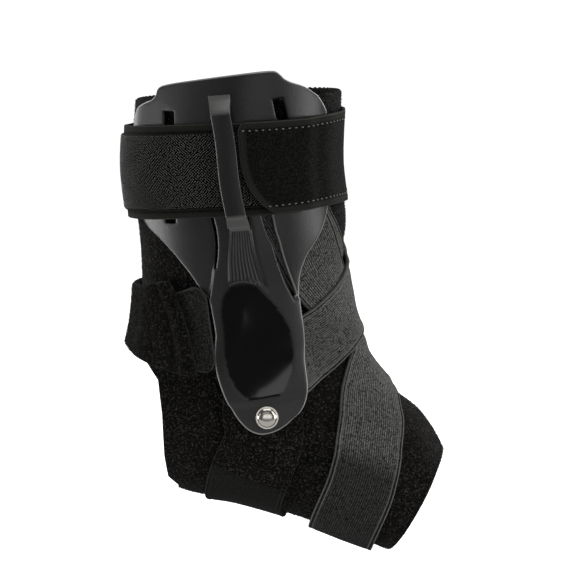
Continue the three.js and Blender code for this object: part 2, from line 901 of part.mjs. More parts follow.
function flapTabUnder(spot) {
  const onStay = smooth((spot.around - tabRise.start) / tabRise.angle);
  return mix(layGap, stayOver(spot) + layGap, onStay);
}

function heelFlapUnder(spot) {
  const tabEnd = flapTabRoute[flapTabRoute.length - 1].around;
  const onTab = smooth((spot.around - tabEnd + heelFlapRise.margin) / heelFlapRise.angle);
  return mix(layGap, flapTabUnder(spot) + flapTabThickness + layGap, onTab);
}

// The flap narrows to its back width over the first half of its length
function heelFlapWidth(share) {
  return mix(heelFlapEndWidth, heelFlapBackWidth, smooth(2 * share));
}

// The free edge leans back towards its top corner
function heelFlapStart(share) {
  return heelFlapCorner * (1 - share) ** 2;
}

const heelFlap = {
  route: makeRoute(heelFlapRoute),
  width: heelFlapWidth,
  thickness: heelFlapThickness,
  from: heelFlapStart,
};
const flapTab = {
  route: makeRoute(flapTabRoute),
  width: (share) => mix(flapTabWidth, flapTabInnerWidth, share),
  thickness: flapTabThickness,
};

// Whole sleeve

const seamStart = soleSeamGap / 2;
const ankleSleeve = new THREE.Group();
ankleSleeve.add(
  sleeve,
  namedMesh(
    'stirrup_band',
    cutAway(laidStrap({ ...stirrup, columns: 4, step: 6, under: clearOf([]) }), [rivetHole()]),
    'loopCloth',
  ),
  strapMesh('ankle_strap_medial', innerAnkle, [stirrup], 'elastic'),
  strapMesh('instep_strap_medial', innerInstep, [stirrup, innerAnkle], 'elastic', seamStart),
  strapMesh('instep_strap_lateral', outerInstep, [stirrup, innerAnkle, innerInstep], 'elastic', seamStart),
  strapMesh('ankle_strap_lateral', outerAnkle, [stirrup, innerAnkle, innerInstep, outerInstep], 'elastic'),
  namedMesh('stay_shell', stayShell(), 'mouldedPlastic'),
  namedMesh('rivet', rivetBody(), 'nickel'),
  namedMesh('calf_strap', calfStrapBody(), 'loopCloth'),
  namedMesh('hook_tape', hookTapeBody(), 'hookTape'),
  namedMesh('flap_tab', laidStrap({ ...flapTab, under: flapTabUnder }), 'loopCloth'),
  namedMesh('heel_flap', laidStrap({ ...heelFlap, under: heelFlapUnder }), 'plush'),
);

export default ankleSleeve;
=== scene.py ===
"""Looks of an ankle sleeve: a plush tube with crossed elastic straps, a band under the sole, a strap
round the calf with hook tape, a flap behind the ankle, and a moulded stay with a keeper bar and a rivet.

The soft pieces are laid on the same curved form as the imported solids, and stand for them. Lengths are
millimetres in the frame of the part, and metres only where a mesh or a lamp is handed to Blender.
"""

import logging
import math
from collections.abc import Callable, Sequence
from dataclasses import dataclass
from enum import Enum

import bpy
import numpy as np
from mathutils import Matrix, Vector
from mathutils.geometry import delaunay_2d_cdt

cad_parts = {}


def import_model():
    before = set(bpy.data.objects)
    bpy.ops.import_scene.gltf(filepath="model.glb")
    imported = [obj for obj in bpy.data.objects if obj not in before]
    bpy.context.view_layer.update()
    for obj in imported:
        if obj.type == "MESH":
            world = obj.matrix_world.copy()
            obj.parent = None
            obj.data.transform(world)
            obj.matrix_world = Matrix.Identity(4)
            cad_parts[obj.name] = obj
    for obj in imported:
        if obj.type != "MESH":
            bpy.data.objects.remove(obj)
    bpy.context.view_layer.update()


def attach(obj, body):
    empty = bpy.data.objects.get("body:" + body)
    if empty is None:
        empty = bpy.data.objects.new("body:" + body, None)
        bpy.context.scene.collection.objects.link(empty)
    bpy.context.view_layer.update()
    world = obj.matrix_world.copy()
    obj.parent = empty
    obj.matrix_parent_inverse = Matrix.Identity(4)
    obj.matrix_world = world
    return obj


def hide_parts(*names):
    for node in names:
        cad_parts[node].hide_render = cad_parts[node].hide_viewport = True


LOG = logging.getLogger("ankle_sleeve")
MM = 0.001
BODY = "root"
Array = np.ndarray

# Sections of the sleeve from the calf to the toes, as shares of its length, height and width
SECTION_COLUMNS = ("back_x", "back_z", "front_x", "front_z", "width", "square", "taper")
SECTIONS = (
    (-0.334, 0.477, 0.297, 0.496, 1.00, 0.015, 0.02),
    (-0.347, 0.336, 0.291, 0.351, 0.97, 0.015, 0.03),
    (-0.325, 0.191, 0.310, 0.219, 0.94, 0.015, 0.06),
    (-0.320, 0.069, 0.288, 0.126, 0.91, 0.015, 0.09),
    (-0.345, -0.050, 0.295, 0.043, 0.90, 0.015, 0.08),
    (-0.412, -0.173, 0.316, -0.011, 0.88, 0.015, 0.03),
    (-0.362, -0.303, 0.353, -0.061, 0.86, 0.020, 0.00),
    (-0.207, -0.366, 0.402, -0.111, 0.86, 0.025, -0.04),
    (-0.031, -0.388, 0.467, -0.156, 0.87, 0.030, -0.07),
    (0.170, -0.429, 0.539, -0.197, 0.88, 0.035, -0.08),
    (0.310, -0.466, 0.588, -0.243, 0.89, 0.035, -0.08),
    (0.440, -0.498, 0.616, -0.284, 0.90, 0.035, -0.08),
)
MOVING_COLUMNS = np.array([name[-1] in "xz" for name in SECTION_COLUMNS], float)

# Routes over the form. Columns: around in degrees, along as a share from the calf to the toes.
OUTER_INSTEP = (
    (-180, 0.909), (-140, 0.885), (-105, 0.85), (-82, 0.81), (-66, 0.773), (-49, 0.73),
    (-34, 0.68), (-17, 0.635), (0, 0.58), (22, 0.46), (45, 0.28), (75, 0.09),
)
INNER_INSTEP = (
    (180, 0.909), (140, 0.885), (105, 0.85), (82, 0.81), (66, 0.76), (45, 0.67),
    (22, 0.54), (0, 0.42), (-22, 0.34), (-45, 0.25), (-75, 0.09),
)
OUTER_ANKLE = ((-68, 0.49), (-35, 0.43), (0, 0.35), (35, 0.25), (60, 0.15), (75, 0.09))
INNER_ANKLE = tuple((-around, along) for around, along in OUTER_ANKLE)
STIRRUP = (
    (-80, 0.54), (-92, 0.615), (-118, 0.68), (-145, 0.722), (-180, 0.75),
    (-215, 0.722), (-242, 0.68), (-268, 0.615), (-280, 0.54),
)
STAY = (
    (-86.5, 0.604), (-78, 0.516), (-77, 0.396), (-82, 0.3), (-88, 0.212),
    (-89, 0.136), (-90, 0.062), (-94, -0.002), (-96, -0.04),
)
CALF_STRAP = ((-58, 0.088), (-100, 0.09), (-180, 0.097), (-260, 0.09), (-360, 0.083), (-450, 0.088))
HEEL_FLAP = ((-111, 0.34), (-125, 0.335), (-150, 0.325), (-180, 0.315), (-230, 0.32))
FLAP_TAB = ((-102, 0.345), (-120, 0.341), (-140, 0.332))

# Height of the stay over the form. Columns: around, share of the greatest height.
STAY_LIFT = (
    (-150, 0.154), (-120, 0.231), (-105, 0.365), (-95, 0.692),
    (-86, 1), (-47, 1), (-38, 0.731), (-28, 0.308),
)

# Round foot of the stay from back to front. Columns: across, up, in millimetres.
STAY_FOOT = (
    (17.6, 18.5), (15.1, 11.2), (11.2, 5.6), (7.9, 2.6), (4.3, 0.5), (-1.5, -1.2), (-7.9, -1.3),
    (-12.5, 0.4), (-16, 4.2), (-18.6, 8.6), (-20.6, 13), (-22, 18),
)

# Outline of the stay above its round foot. Columns: up, back, front, as shares of length and width.
STAY_SIDES = (
    (0.13, 0.189, 0.227), (0.175, 0.202, 0.229), (0.225, 0.211, 0.226), (0.273, 0.211, 0.208),
    (0.31, 0.209, 0.207), (0.362, 0.206, 0.216), (0.395, 0.206, 0.229), (0.43, 0.25, 0.25),
    (0.465, 0.285, 0.28), (0.5, 0.345, 0.315), (0.538, 0.43, 0.366), (0.575, 0.5, 0.415),
    (0.613, 0.552, 0.452), (0.656, 0.572, 0.472), (0.71, 0.58, 0.48), (0.785, 0.588, 0.48),
    (0.855, 0.592, 0.48),
)

# Top edge of the stay from back to front. Columns: across, up.
STAY_TOP = (
    (0.592, 0.9), (0.545, 0.925), (0.465, 0.936), (0.415, 0.939), (0.385, 0.95), (0.378, 0.963),
    (0.35, 0.974), (0.125, 0.984), (-0.215, 0.996), (-0.248, 0.986), (-0.278, 0.963),
    (-0.37, 0.941), (-0.425, 0.909), (-0.48, 0.862),
)

# Edge of the heel opening in the side view, as shares of the sleeve's length and height
HEEL_OPENING = (
    (-0.55, -0.01), (-0.4, -0.045), (-0.3, -0.075), (-0.262, -0.11), (-0.25, -0.184),
    (-0.245, -0.275), (-0.235, -0.327), (-0.2, -0.352), (-0.25, -0.42), (-0.55, -0.45),
)


def smooth(share: Array) -> Array:
    """Turns shares into soft steps from 0 to 1.

    Args:
        share: any numbers; below 0 counts as 0 and above 1 as 1.

    Returns:
        The stepped values.
    """
    t = np.clip(share, 0, 1)
    return t * t * (3 - 2 * t)


def mix(a: Array, b: Array, share: Array) -> Array:
    """Straight mix of a and b."""
    return a + (b - a) * share


def catmull(rows: Array, places: Array) -> Array:
    """Smooth curve through rows.

    Args:
        rows: one row for each knot.
        places: where to read, from 0 to the number of rows less one.

    Returns:
        One row for each place.
    """
    last = len(rows) - 1
    i = np.clip(places.astype(int), 0, last - 1)
    t = (places - i)[..., None]
    knots = np.vstack([2 * rows[0] - rows[1], rows, 2 * rows[-1] - rows[-2]])
    p0, p1, p2, p3 = (knots[i + k] for k in range(4))
    bend = (2 * p0 - 5 * p1 + 4 * p2 - p3) * t**2 + (3 * p1 - p0 - 3 * p2 + p3) * t**3
    return 0.5 * (2 * p1 + (p2 - p0) * t + bend)


def dot(a: Array, b: Array) -> Array:
    """Dot product of rows of vectors."""
    return (a * b).sum(-1)


def unit(vectors: Array) -> Array:
    """Vectors at length one."""
    return vectors / np.maximum(np.linalg.norm(vectors, axis=-1, keepdims=True), 1e-12)


@dataclass(frozen=True)
class Form:
    """The curved form that the sleeve and everything on it follow."""

    length: float = 168.0
    height: float = 240.0
    width: float = 88.0
    front_square: float = 0.3
    turn: float = 0.5
    shift: float = 0.002
    walk_step: float = 4.0

    def section(self, along: Array) -> Array:
        """Section columns at shares along, carried on straight beyond both ends."""
        rows = np.array(SECTIONS)
        last = len(rows) - 1
        inside = np.clip(along, 0, 1)
        slope = np.where((along < 0)[..., None], rows[1] - rows[0], rows[-1] - rows[-2])
        beyond = ((along - inside) * last)[..., None]
        return catmull(rows, inside * last) + slope * MOVING_COLUMNS * beyond

    def point(self, around: Array, along: Array) -> Array:
        """Points of the form.

        Args:
            around: degrees, 0 in front and -90 on the stay's side.
            along: shares from the calf edge to the toe edge.

        Returns:
            Points in millimetres.
        """
        around, along = np.broadcast_arrays(np.asarray(around, float), np.asarray(along, float))
        back_x, back_z, front_x, front_z, width, square, taper = np.moveaxis(self.section(along), -1, 0)
        angle = np.radians(around)
        corner = square * mix(self.front_square, 1, (1 - np.cos(angle)) / 2)
        forward = (np.cos(angle) - corner * np.cos(3 * angle)) / (1 - corner)
        sideways = (np.sin(angle) + corner * np.sin(3 * angle)) / (1 - corner)
        sideways = sideways * (1 + taper * np.cos(angle))
        x = ((back_x + front_x) + (front_x - back_x) * forward) / 2 * self.length
        z = ((back_z + front_z) + (front_z - back_z) * forward) / 2 * self.height
        return np.stack([x, width * self.width * sideways / 2, z], -1)

    def frame(self, around: Array, along: Array) -> tuple[Array, Array, Array]:
        """Directions of the form's surface.

        Args:
            around, along: places on the form.

        Returns:
            The steps for one degree around and for the whole length along, and the way out.
        """
        across = self.point(around + self.turn, along) - self.point(around - self.turn, along)
        down = self.point(around, along + self.shift) - self.point(around, along - self.shift)
        across, down = across / (2 * self.turn), down / (2 * self.shift)
        return across, down, unit(np.cross(down, across))

    def lifted(self, around: Array, along: Array, height: Array) -> Array:
        """Points at a height over the form."""
        outward = self.frame(around, along)[2]
        return self.point(around, along) + outward * np.asarray(height)[..., None]

    def step(self, around: Array, along: Array, move: Array) -> tuple[Array, Array]:
        """Makes a short straight move over the form.

        Args:
            around, along: where it starts.
            move: its direction and length in space, in millimetres.

        Returns:
            around and along of where it ends.
        """
        across, down, _ = self.frame(around, along)
        a, b, c = dot(across, across), dot(across, down), dot(down, down)
        e, f = dot(across, move), dot(down, move)
        scale = a * c - b * b
        return around + (c * e - b * f) / scale, along + (a * f - b * e) / scale

    def walk(self, around: Array, along: Array, heading: Array, distance: Array) -> tuple[Array, Array]:
        """Walks straight over the form.

        Args:
            around, along: where to start.
            heading: direction in space at the start.
            distance: how far, in millimetres; negative goes backwards.

        Returns:
            around and along of where the walk ends.
        """
        steps = max(1, math.ceil(np.abs(distance).max() / self.walk_step))
        stride = (distance / steps)[..., None]
        for _ in range(steps):
            outward = self.frame(around, along)[2]
            heading = unit(heading - outward * dot(heading, outward)[..., None])
            half_around, half_along = self.step(around, along, heading * stride / 2)
            outward = self.frame(half_around, half_along)[2]
            heading = unit(heading - outward * dot(heading, outward)[..., None])
            around, along = self.step(around, along, heading * stride)
        return around, along


FORM = Form()


class Route:
    """A line over the form, read by the distance along it."""

    samples = 300
    reach = 1.0

    def __init__(self, table: Sequence[tuple[float, float]]) -> None:
        """Lays the line through the rows of a table of around and along."""
        rows = np.array(table, float)
        self.spots = catmull(rows, np.linspace(0, len(rows) - 1, self.samples + 1))
        self.points = FORM.point(self.spots[:, 0], self.spots[:, 1])
        steps = np.linalg.norm(np.diff(self.points, axis=0), axis=1)
        self.distances = np.concatenate([[0], np.cumsum(steps)])
        self.length = float(self.distances[-1])

    def spot(self, distance: Array) -> tuple[Array, Array]:
        """around and along at distances, carried on straight beyond both ends."""
        i = np.clip(np.searchsorted(self.distances, distance, side="right"), 1, self.samples)
        low, high = self.distances[i - 1], self.distances[i]
        share = ((distance - low) / (high - low))[..., None]
        found = mix(self.spots[i - 1], self.spots[i], share)
        return found[..., 0], found[..., 1]

    def beside(self, distance: Array, offset: Array) -> tuple[Array, Array]:
        """Spots beside the line.

        Args:
            distance: how far along the line.
            offset: how far to the left, seen from outside.

        Returns:
            around and along of the spots.
        """
        distance, offset = np.broadcast_arrays(np.asarray(distance, float), np.asarray(offset, float))
        around, along = self.spot(distance)
        ahead = FORM.point(*self.spot(distance + self.reach))
        behind = FORM.point(*self.spot(distance - self.reach))
        heading = np.cross(FORM.frame(around, along)[2], ahead - behind)
        return FORM.walk(around, along, unit(heading), offset)

    def nearest(self, points: Array) -> Array:
        """Distance from points to the line.

        Args:
            points: places in millimetres, in an array of any shape.

        Returns:
            One distance for each point.
        """
        flat = points.reshape(-1, 3)
        found = np.empty(len(flat))
        block = 4000
        for i in range(0, len(flat), block):
            gaps = flat[i : i + block, None] - self.points[None]
            found[i : i + block] = np.sqrt((gaps**2).sum(-1).min(1))
        return found.reshape(points.shape[:-1])

    def at_around(self, around: float) -> float:
        """Distance at which the line first turns past an angle."""
        return float(self.distances[np.argmax(self.spots[:, 0] <= around)])


def outward_faces(points: Array, faces: Array) -> Array:
    """Faces of a closed body, turned so that they point out."""
    a = points[faces[:, 0]]
    volume = 0.0
    for k in range(2, faces.shape[1]):
        volume += dot(a, np.cross(points[faces[:, k - 1]], points[faces[:, k]])).sum()
    return faces if volume > 0 else faces[:, ::-1]


def new_piece(name: str, points: Array, faces: Sequence, uv: Array | None = None) -> bpy.types.Object:
    """Makes a smooth mesh object that rides on the body.

    Args:
        name: the piece's name.
        points: vertices in millimetres.
        faces: vertex numbers of each face.
        uv: a place on the cloth for each vertex, in millimetres.

    Returns:
        The new object, at the origin.
    """
    mesh = bpy.data.meshes.new(name)
    mesh.from_pydata((np.asarray(points) * MM).tolist(), [], np.asarray(faces).tolist())
    mesh.polygons.foreach_set("use_smooth", np.ones(len(mesh.polygons), bool))
    if uv is not None:
        corners = np.empty(len(mesh.loops), np.int32)
        mesh.loops.foreach_get("vertex_index", corners)
        layer = mesh.uv_layers.new(name="cloth")
        layer.data.foreach_set("uv", (uv[corners] * MM).astype(np.float32).ravel())
    mesh.update()
    piece = bpy.data.objects.new(name, mesh)
    bpy.context.scene.collection.objects.link(piece)
    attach(piece, BODY)
    return piece


def give_value(piece: bpy.types.Object, name: str, values: Array) -> None:
    """Stores a number for each vertex, for a material to read."""
    attribute = piece.data.attributes.new(name, "FLOAT", "POINT")
    attribute.data.foreach_set("value", np.asarray(values, np.float32).ravel())


def grid_quads(index: Array) -> Array:
    """Quads of a grid of vertex numbers."""
    return np.stack([index[:-1, :-1], index[:-1, 1:], index[1:, 1:], index[1:, :-1]], -1).reshape(-1, 4)


def slab(low: Array, high: Array, closed: bool = False) -> tuple[Array, Array]:
    """Closed body between two grids of points.

    Args:
        low, high: (rows, columns, 3) points of the under and the upper side.
        closed: whether the last column joins the first, as in a tube.

    Returns:
        Its points and its faces.
    """
    rows, columns = low.shape[:2]
    index = np.arange(rows * columns).reshape(rows, columns)
    if closed:
        index = np.concatenate([index, index[:, :1]], 1)
    rim = [index[0], index[-1][::-1]] if closed else [outer_loop(index)]
    count = rows * columns
    faces = [grid_quads(index), grid_quads(index)[:, ::-1] + count]
    for loop in rim:
        faces.append(np.stack([loop[1:], loop[:-1], loop[:-1] + count, loop[1:] + count], -1))
    points = np.concatenate([high.reshape(-1, 3), low.reshape(-1, 3)])
    return points, outward_faces(points, np.concatenate(faces))


def outer_loop(index: Array) -> Array:
    """Numbers round the edge of a grid, back to the first."""
    return np.concatenate([index[0], index[1:, -1], index[-1, -2::-1], index[-2::-1, 0]])


def spindles(
    starts: Array, ends: Array, outward: Array, radius: float, flat: float = 0.8,
) -> tuple[Array, Array]:
    """Many small rods with pointed ends, such as stitches and hooks.

    Args:
        starts, ends: the two tips of each.
        outward: which way is up for each.
        radius: half the thickness in the middle.
        flat: height as a share of the width.

    Returns:
        Points and triangles.
    """
    along = ends - starts
    side = unit(np.cross(along, outward))
    up = unit(np.cross(side, along)) * flat
    ring = [side, up, -side, -up]
    rows = [starts]
    for share in (0.22, 0.78):
        rows += [starts + along * share + way * radius for way in ring]
    rows.append(ends)
    points = np.stack(rows, 1)
    tris = []
    for k in range(4):
        n = (k + 1) % 4
        tris += [(0, 1 + n, 1 + k), (1 + k, 1 + n, 5 + n), (1 + k, 5 + n, 5 + k), (9, 5 + k, 5 + n)]
    one = np.array(tris)
    faces = one[None] + np.arange(len(starts))[:, None, None] * points.shape[1]
    points = points.reshape(-1, 3)
    return points, outward_faces(points, faces.reshape(-1, 3))


def tufts(bases: Array, tips: Array, radius: Array) -> tuple[Array, Array]:
    """Short pointed fibres, each a closed spike on three feet.

    Args:
        bases, tips: where each fibre is rooted and where it ends.
        radius: of each foot.

    Returns:
        Points and triangles.
    """
    way = unit(tips - bases)
    side = unit(np.cross(way, np.array([0.31, 0.52, 0.79])))
    other = np.cross(way, side)
    feet = []
    for angle in (0, 2 * math.pi / 3, 4 * math.pi / 3):
        feet.append(bases + (side * math.cos(angle) + other * math.sin(angle)) * radius[:, None])
    points = np.stack([*feet, tips], 1)
    one = np.array([(0, 1, 3), (1, 2, 3), (2, 0, 3), (0, 2, 1)])
    faces = one[None] + np.arange(len(bases))[:, None, None] * 4
    points = points.reshape(-1, 3)
    return points, outward_faces(points, faces.reshape(-1, 3))


class Slot(Enum):
    """Material slots."""

    PLUSH = "plush"
    LOOP_CLOTH = "loop_cloth"
    ELASTIC = "elastic"
    HOOK_TAPE = "hook_tape"
    PLASTIC = "moulded_plastic"
    NICKEL = "nickel"


def linear(hex_colour: str) -> tuple[float, float, float, float]:
    """Turns an sRGB hex colour such as #3c3c3e into linear light."""
    parts = [int(hex_colour[i : i + 2], 16) / 255 for i in (1, 3, 5)]
    low = [part / 12.92 if part <= 0.04045 else ((part + 0.055) / 1.055) ** 2.4 for part in parts]
    return (*low, 1.0)


def add_node(
    tree: bpy.types.NodeTree, kind: str, sockets: dict | None = None, **settings: object,
) -> bpy.types.Node:
    """Adds a node.

    Args:
        tree: where to.
        kind: the node's type.
        sockets: by name or number, a value or the output that feeds it.
        settings: the node's own properties.

    Returns:
        The node.
    """
    node = tree.nodes.new(kind)
    for name, value in settings.items():
        setattr(node, name, value)
    for key, value in (sockets or {}).items():
        if isinstance(value, bpy.types.NodeSocket):
            tree.links.new(value, node.inputs[key])
        else:
            node.inputs[key].default_value = value
    return node


# Numbers of the mix node's colour sockets
COLOUR_A, COLOUR_B, COLOUR_OUT = 6, 7, 2


@dataclass(frozen=True)
class Finish:
    """What every finish has: its name, main colour, roughness and how strong its light edge is."""

    name: str
    colour: str
    roughness: float
    specular: float = 0.5

    def build(self) -> bpy.types.Material:
        """Makes the material."""
        material = bpy.data.materials.new(self.name)
        material.use_nodes = True
        tree = material.node_tree
        tree.nodes.clear()
        shader = add_node(tree, "ShaderNodeBsdfPrincipled")
        shader.inputs["Base Color"].default_value = linear(self.colour)
        shader.inputs["Roughness"].default_value = self.roughness
        shader.inputs["Specular IOR Level"].default_value = self.specular
        output = add_node(tree, "ShaderNodeOutputMaterial")
        tree.links.new(shader.outputs["BSDF"], output.inputs["Surface"])
        self.detail(tree, shader)
        return material

    def detail(self, tree: bpy.types.NodeTree, shader: bpy.types.Node) -> None:
        """Adds pattern and grain, and in some finishes painted highlights and painted shade."""

    def speckle(
        self, tree: bpy.types.NodeTree, grain: float, low: float, high: float,
    ) -> bpy.types.NodeSocket:
        """Mask of small flecks.

        Args:
            tree: the material's nodes.
            grain: size of a fleck in millimetres.
            low, high: noise values where the flecks start and are full.

        Returns:
            The mask.
        """
        place = add_node(tree, "ShaderNodeTexCoord").outputs["Object"]
        settings = {"Vector": place, "Scale": 1 / (grain * MM), "Detail": 2.0, "Roughness": 0.6}
        noise = add_node(tree, "ShaderNodeTexNoise", settings)
        shares = {"Value": noise.outputs["Fac"], "From Min": low, "From Max": high}
        return add_node(tree, "ShaderNodeMapRange", shares).outputs["Result"]

    def edge_line(self, tree: bpy.types.NodeTree, at: float, half: float) -> bpy.types.NodeSocket:
        """Thin soft line at a distance from the cloth's edge, both in millimetres."""
        edge = add_node(tree, "ShaderNodeAttribute", attribute_name="edge").outputs["Fac"]
        off = add_node(tree, "ShaderNodeMath", {0: edge, 1: at}, operation="SUBTRACT").outputs[0]
        off = add_node(tree, "ShaderNodeMath", {0: off}, operation="ABSOLUTE").outputs[0]
        span = {"Value": off, "From Min": half, "From Max": half / 3}
        return add_node(tree, "ShaderNodeMapRange", span).outputs[0]

    def blend(
        self,
        tree: bpy.types.NodeTree,
        share: bpy.types.NodeSocket,
        first: str | bpy.types.NodeSocket,
        second: str | bpy.types.NodeSocket,
    ) -> bpy.types.NodeSocket:
        """Mix of two colours, each a hex value or another node's output."""
        pair = [linear(c) if isinstance(c, str) else c for c in (first, second)]
        sockets = {0: share, COLOUR_A: pair[0], COLOUR_B: pair[1]}
        return add_node(tree, "ShaderNodeMix", sockets, data_type="RGBA").outputs[COLOUR_OUT]

    def bump(
        self,
        tree: bpy.types.NodeTree,
        shader: bpy.types.Node,
        height: bpy.types.NodeSocket,
        depth: float,
    ) -> None:
        """Relief of a depth in millimetres on the shader's normal."""
        normal = shader.inputs["Normal"]
        sockets = {"Height": height, "Distance": depth * MM, "Strength": 1.0}
        if normal.is_linked:
            sockets["Normal"] = normal.links[0].from_socket
        tree.links.new(add_node(tree, "ShaderNodeBump", sockets).outputs["Normal"], normal)


@dataclass(frozen=True)
class Plush(Finish):
    """Brushed polyamide tricot: a short dense nap that shows light tips on a nearly black ground."""

    tips: str = "#4b4845"
    fleck: float = 1.0
    pile: float = 0.5
    sheen: float = 0.05

    def detail(self, tree: bpy.types.NodeTree, shader: bpy.types.Node) -> None:
        """Light flecks, soft relief and a faint sheen."""
        flecks = self.speckle(tree, self.fleck, 0.52, 0.72)
        clumps = self.speckle(tree, 6.0, 0.35, 0.7)
        ground = self.blend(tree, clumps, self.colour, "#161412")
        tree.links.new(self.blend(tree, flecks, ground, self.tips), shader.inputs["Base Color"])
        self.bump(tree, shader, self.speckle(tree, self.fleck * 1.3, 0.3, 0.75), self.pile)
        shader.inputs["Sheen Weight"].default_value = self.sheen
        shader.inputs["Sheen Roughness"].default_value = 0.5


@dataclass(frozen=True)
class Fibre(Finish):
    """Single fibres of the nap; each has its own tone."""

    tips: str = "#55524f"

    def detail(self, tree: bpy.types.NodeTree, shader: bpy.types.Node) -> None:
        """Tone from the fibre's own value."""
        tone = add_node(tree, "ShaderNodeAttribute", attribute_name="tone").outputs["Fac"]
        tree.links.new(self.blend(tree, tone, self.colour, self.tips), shader.inputs["Base Color"])


@dataclass(frozen=True)
class Woven(Finish):
    """Woven webbing or elastic: fine ribs along it and a weft across, with dull light grains."""

    light: str = "#a0a09c"
    rib: float = 1.15
    weft: float = 1.3
    depth: float = 0.22
    grain: float = 1.1
    edge_thread: str = "#6e6f6b"
    # Share of the light grains that is left in the painted shade.
    painted_shade_level: float = 0.3

    def wave(self, tree: bpy.types.NodeTree, direction: str, pitch: float) -> bpy.types.NodeSocket:
        """Soft stripes across one direction of the cloth, a pitch in millimetres apart."""
        place = add_node(tree, "ShaderNodeUVMap", uv_map="cloth").outputs["UV"]
        scale = 2 * math.pi / (20 * pitch * MM)
        sockets = {"Vector": place, "Scale": scale, "Distortion": 0.0}
        node = add_node(tree, "ShaderNodeTexWave", sockets, wave_type="BANDS", bands_direction=direction)
        return node.outputs["Fac"]

    def detail(self, tree: bpy.types.NodeTree, shader: bpy.types.Node) -> None:
        """Ribs crossed by the weft, then grains of light thread, dimmed as painted shade where the rough
        value is low.
        """
        rib_wave = {0: self.wave(tree, "Y", self.rib), 1: -0.5}
        ribs = add_node(tree, "ShaderNodeMath", rib_wave, operation="ADD")
        weft_wave = {0: self.wave(tree, "X", self.weft), 1: -0.5}
        weft = add_node(tree, "ShaderNodeMath", weft_wave, operation="ADD")
        both = {0: ribs.outputs[0], 1: weft.outputs[0]}
        cells = add_node(tree, "ShaderNodeMath", both, operation="MULTIPLY")
        half_rib = {0: ribs.outputs[0], 1: 0.7, 2: cells.outputs[0]}
        weave = add_node(tree, "ShaderNodeMath", half_rib, operation="MULTIPLY_ADD").outputs[0]
        raised = {"Value": weave, "From Min": -0.5, "From Max": 0.6}
        share = add_node(tree, "ShaderNodeMapRange", raised).outputs["Result"]
        grains = self.speckle(tree, self.grain, 0.28, 0.64)
        lit = add_node(tree, "ShaderNodeMath", {0: share, 1: grains}, operation="MULTIPLY").outputs[0]
        # Painted shade: the rough value only dims the light grains, and does not change the roughness.
        rough = add_node(tree, "ShaderNodeAttribute", attribute_name="rough").outputs["Fac"]
        kept = {"Value": rough, "To Min": self.painted_shade_level}
        painted_shade_dim = add_node(tree, "ShaderNodeMapRange", kept).outputs["Result"]
        lit = add_node(tree, "ShaderNodeMath", {0: lit, 1: painted_shade_dim}, operation="MULTIPLY").outputs[0]
        cloth = self.blend(tree, lit, self.colour, self.light)
        cloth = self.blend(tree, self.edge_line(tree, 0.35, 0.45), cloth, self.edge_thread)
        cloth = self.blend(tree, self.edge_line(tree, 1.1, 0.3), cloth, self.colour)
        cloth = self.blend(tree, self.edge_line(tree, 2.3, 0.4), cloth, self.edge_thread)
        tree.links.new(cloth, shader.inputs["Base Color"])
        self.bump(tree, shader, share, self.depth)
        self.bump(tree, shader, grains, self.depth * 0.6)
        shader.inputs["Sheen Weight"].default_value = 0.03


@dataclass(frozen=True)
class FineCloth(Finish):
    """Smooth loop cloth: fine dull grains without a visible weave."""

    light: str = "#3c3c3a"
    grain: float = 0.9
    depth: float = 0.18
    edge_thread: str = "#454541"
    selvedge: float = 0.0
    selvedge_tone: str = "#2e2e2b"

    def detail(self, tree: bpy.types.NodeTree, shader: bpy.types.Node) -> None:
        """Grains of light and soft relief, and a paler selvedge where the cloth has one."""
        grains = self.speckle(tree, self.grain, 0.42, 0.74)
        cloth = self.blend(tree, grains, self.colour, self.light)
        if self.selvedge:
            half = self.selvedge / 2
            cloth = self.blend(tree, self.edge_line(tree, half, half + 0.2), cloth, self.selvedge_tone)
        cloth = self.blend(tree, self.edge_line(tree, 0.35, 0.4), cloth, self.edge_thread)
        tree.links.new(cloth, shader.inputs["Base Color"])
        self.bump(tree, shader, grains, self.depth)
        shader.inputs["Sheen Weight"].default_value = 0.03


@dataclass(frozen=True)
class Moulded(Finish):
    """Injection moulded charcoal plastic: fine spark-eroded grain, a painted highlight along its edges and
    a polished dish painted dark as shade.
    """

    light: str = "#232322"
    # Colour of the painted highlight on the plate's edges, on the neck's rib crests and on the keeper's
    # feet.
    rim: str = "#b4b4b0"
    # Colour of the painted shade in the dish and between the neck's ribs; the dish is also glossier.
    dish: str = "#0b0908"
    gloss: float = 0.1
    grain: float = 0.9

    def detail(self, tree: bpy.types.NodeTree, shader: bpy.types.Node) -> None:
        """Grain on the satin parts, none in the dish; painted highlight where the rim value is set, painted
        shade and gloss where the dish value is set.
        """
        # rim carries the painted highlight; dish carries painted shade and the dish's gloss.
        rim = add_node(tree, "ShaderNodeAttribute", attribute_name="rim").outputs["Fac"]
        dish = add_node(tree, "ShaderNodeAttribute", attribute_name="dish").outputs["Fac"]
        grains = self.speckle(tree, self.grain, 0.35, 0.75)
        satin = self.blend(tree, grains, self.colour, self.light)
        edged = self.blend(tree, rim, satin, self.rim)
        tree.links.new(self.blend(tree, dish, edged, self.dish), shader.inputs["Base Color"])
        range_to = {"Value": dish, "To Min": self.roughness, "To Max": self.gloss}
        rough = add_node(tree, "ShaderNodeMapRange", range_to).outputs["Result"]
        tree.links.new(rough, shader.inputs["Roughness"])
        dull = add_node(tree, "ShaderNodeMath", {0: 1.0, 1: dish}, operation="SUBTRACT").outputs[0]
        height = add_node(tree, "ShaderNodeMath", {0: grains, 1: dull}, operation="MULTIPLY").outputs[0]
        self.bump(tree, shader, height, 0.03)


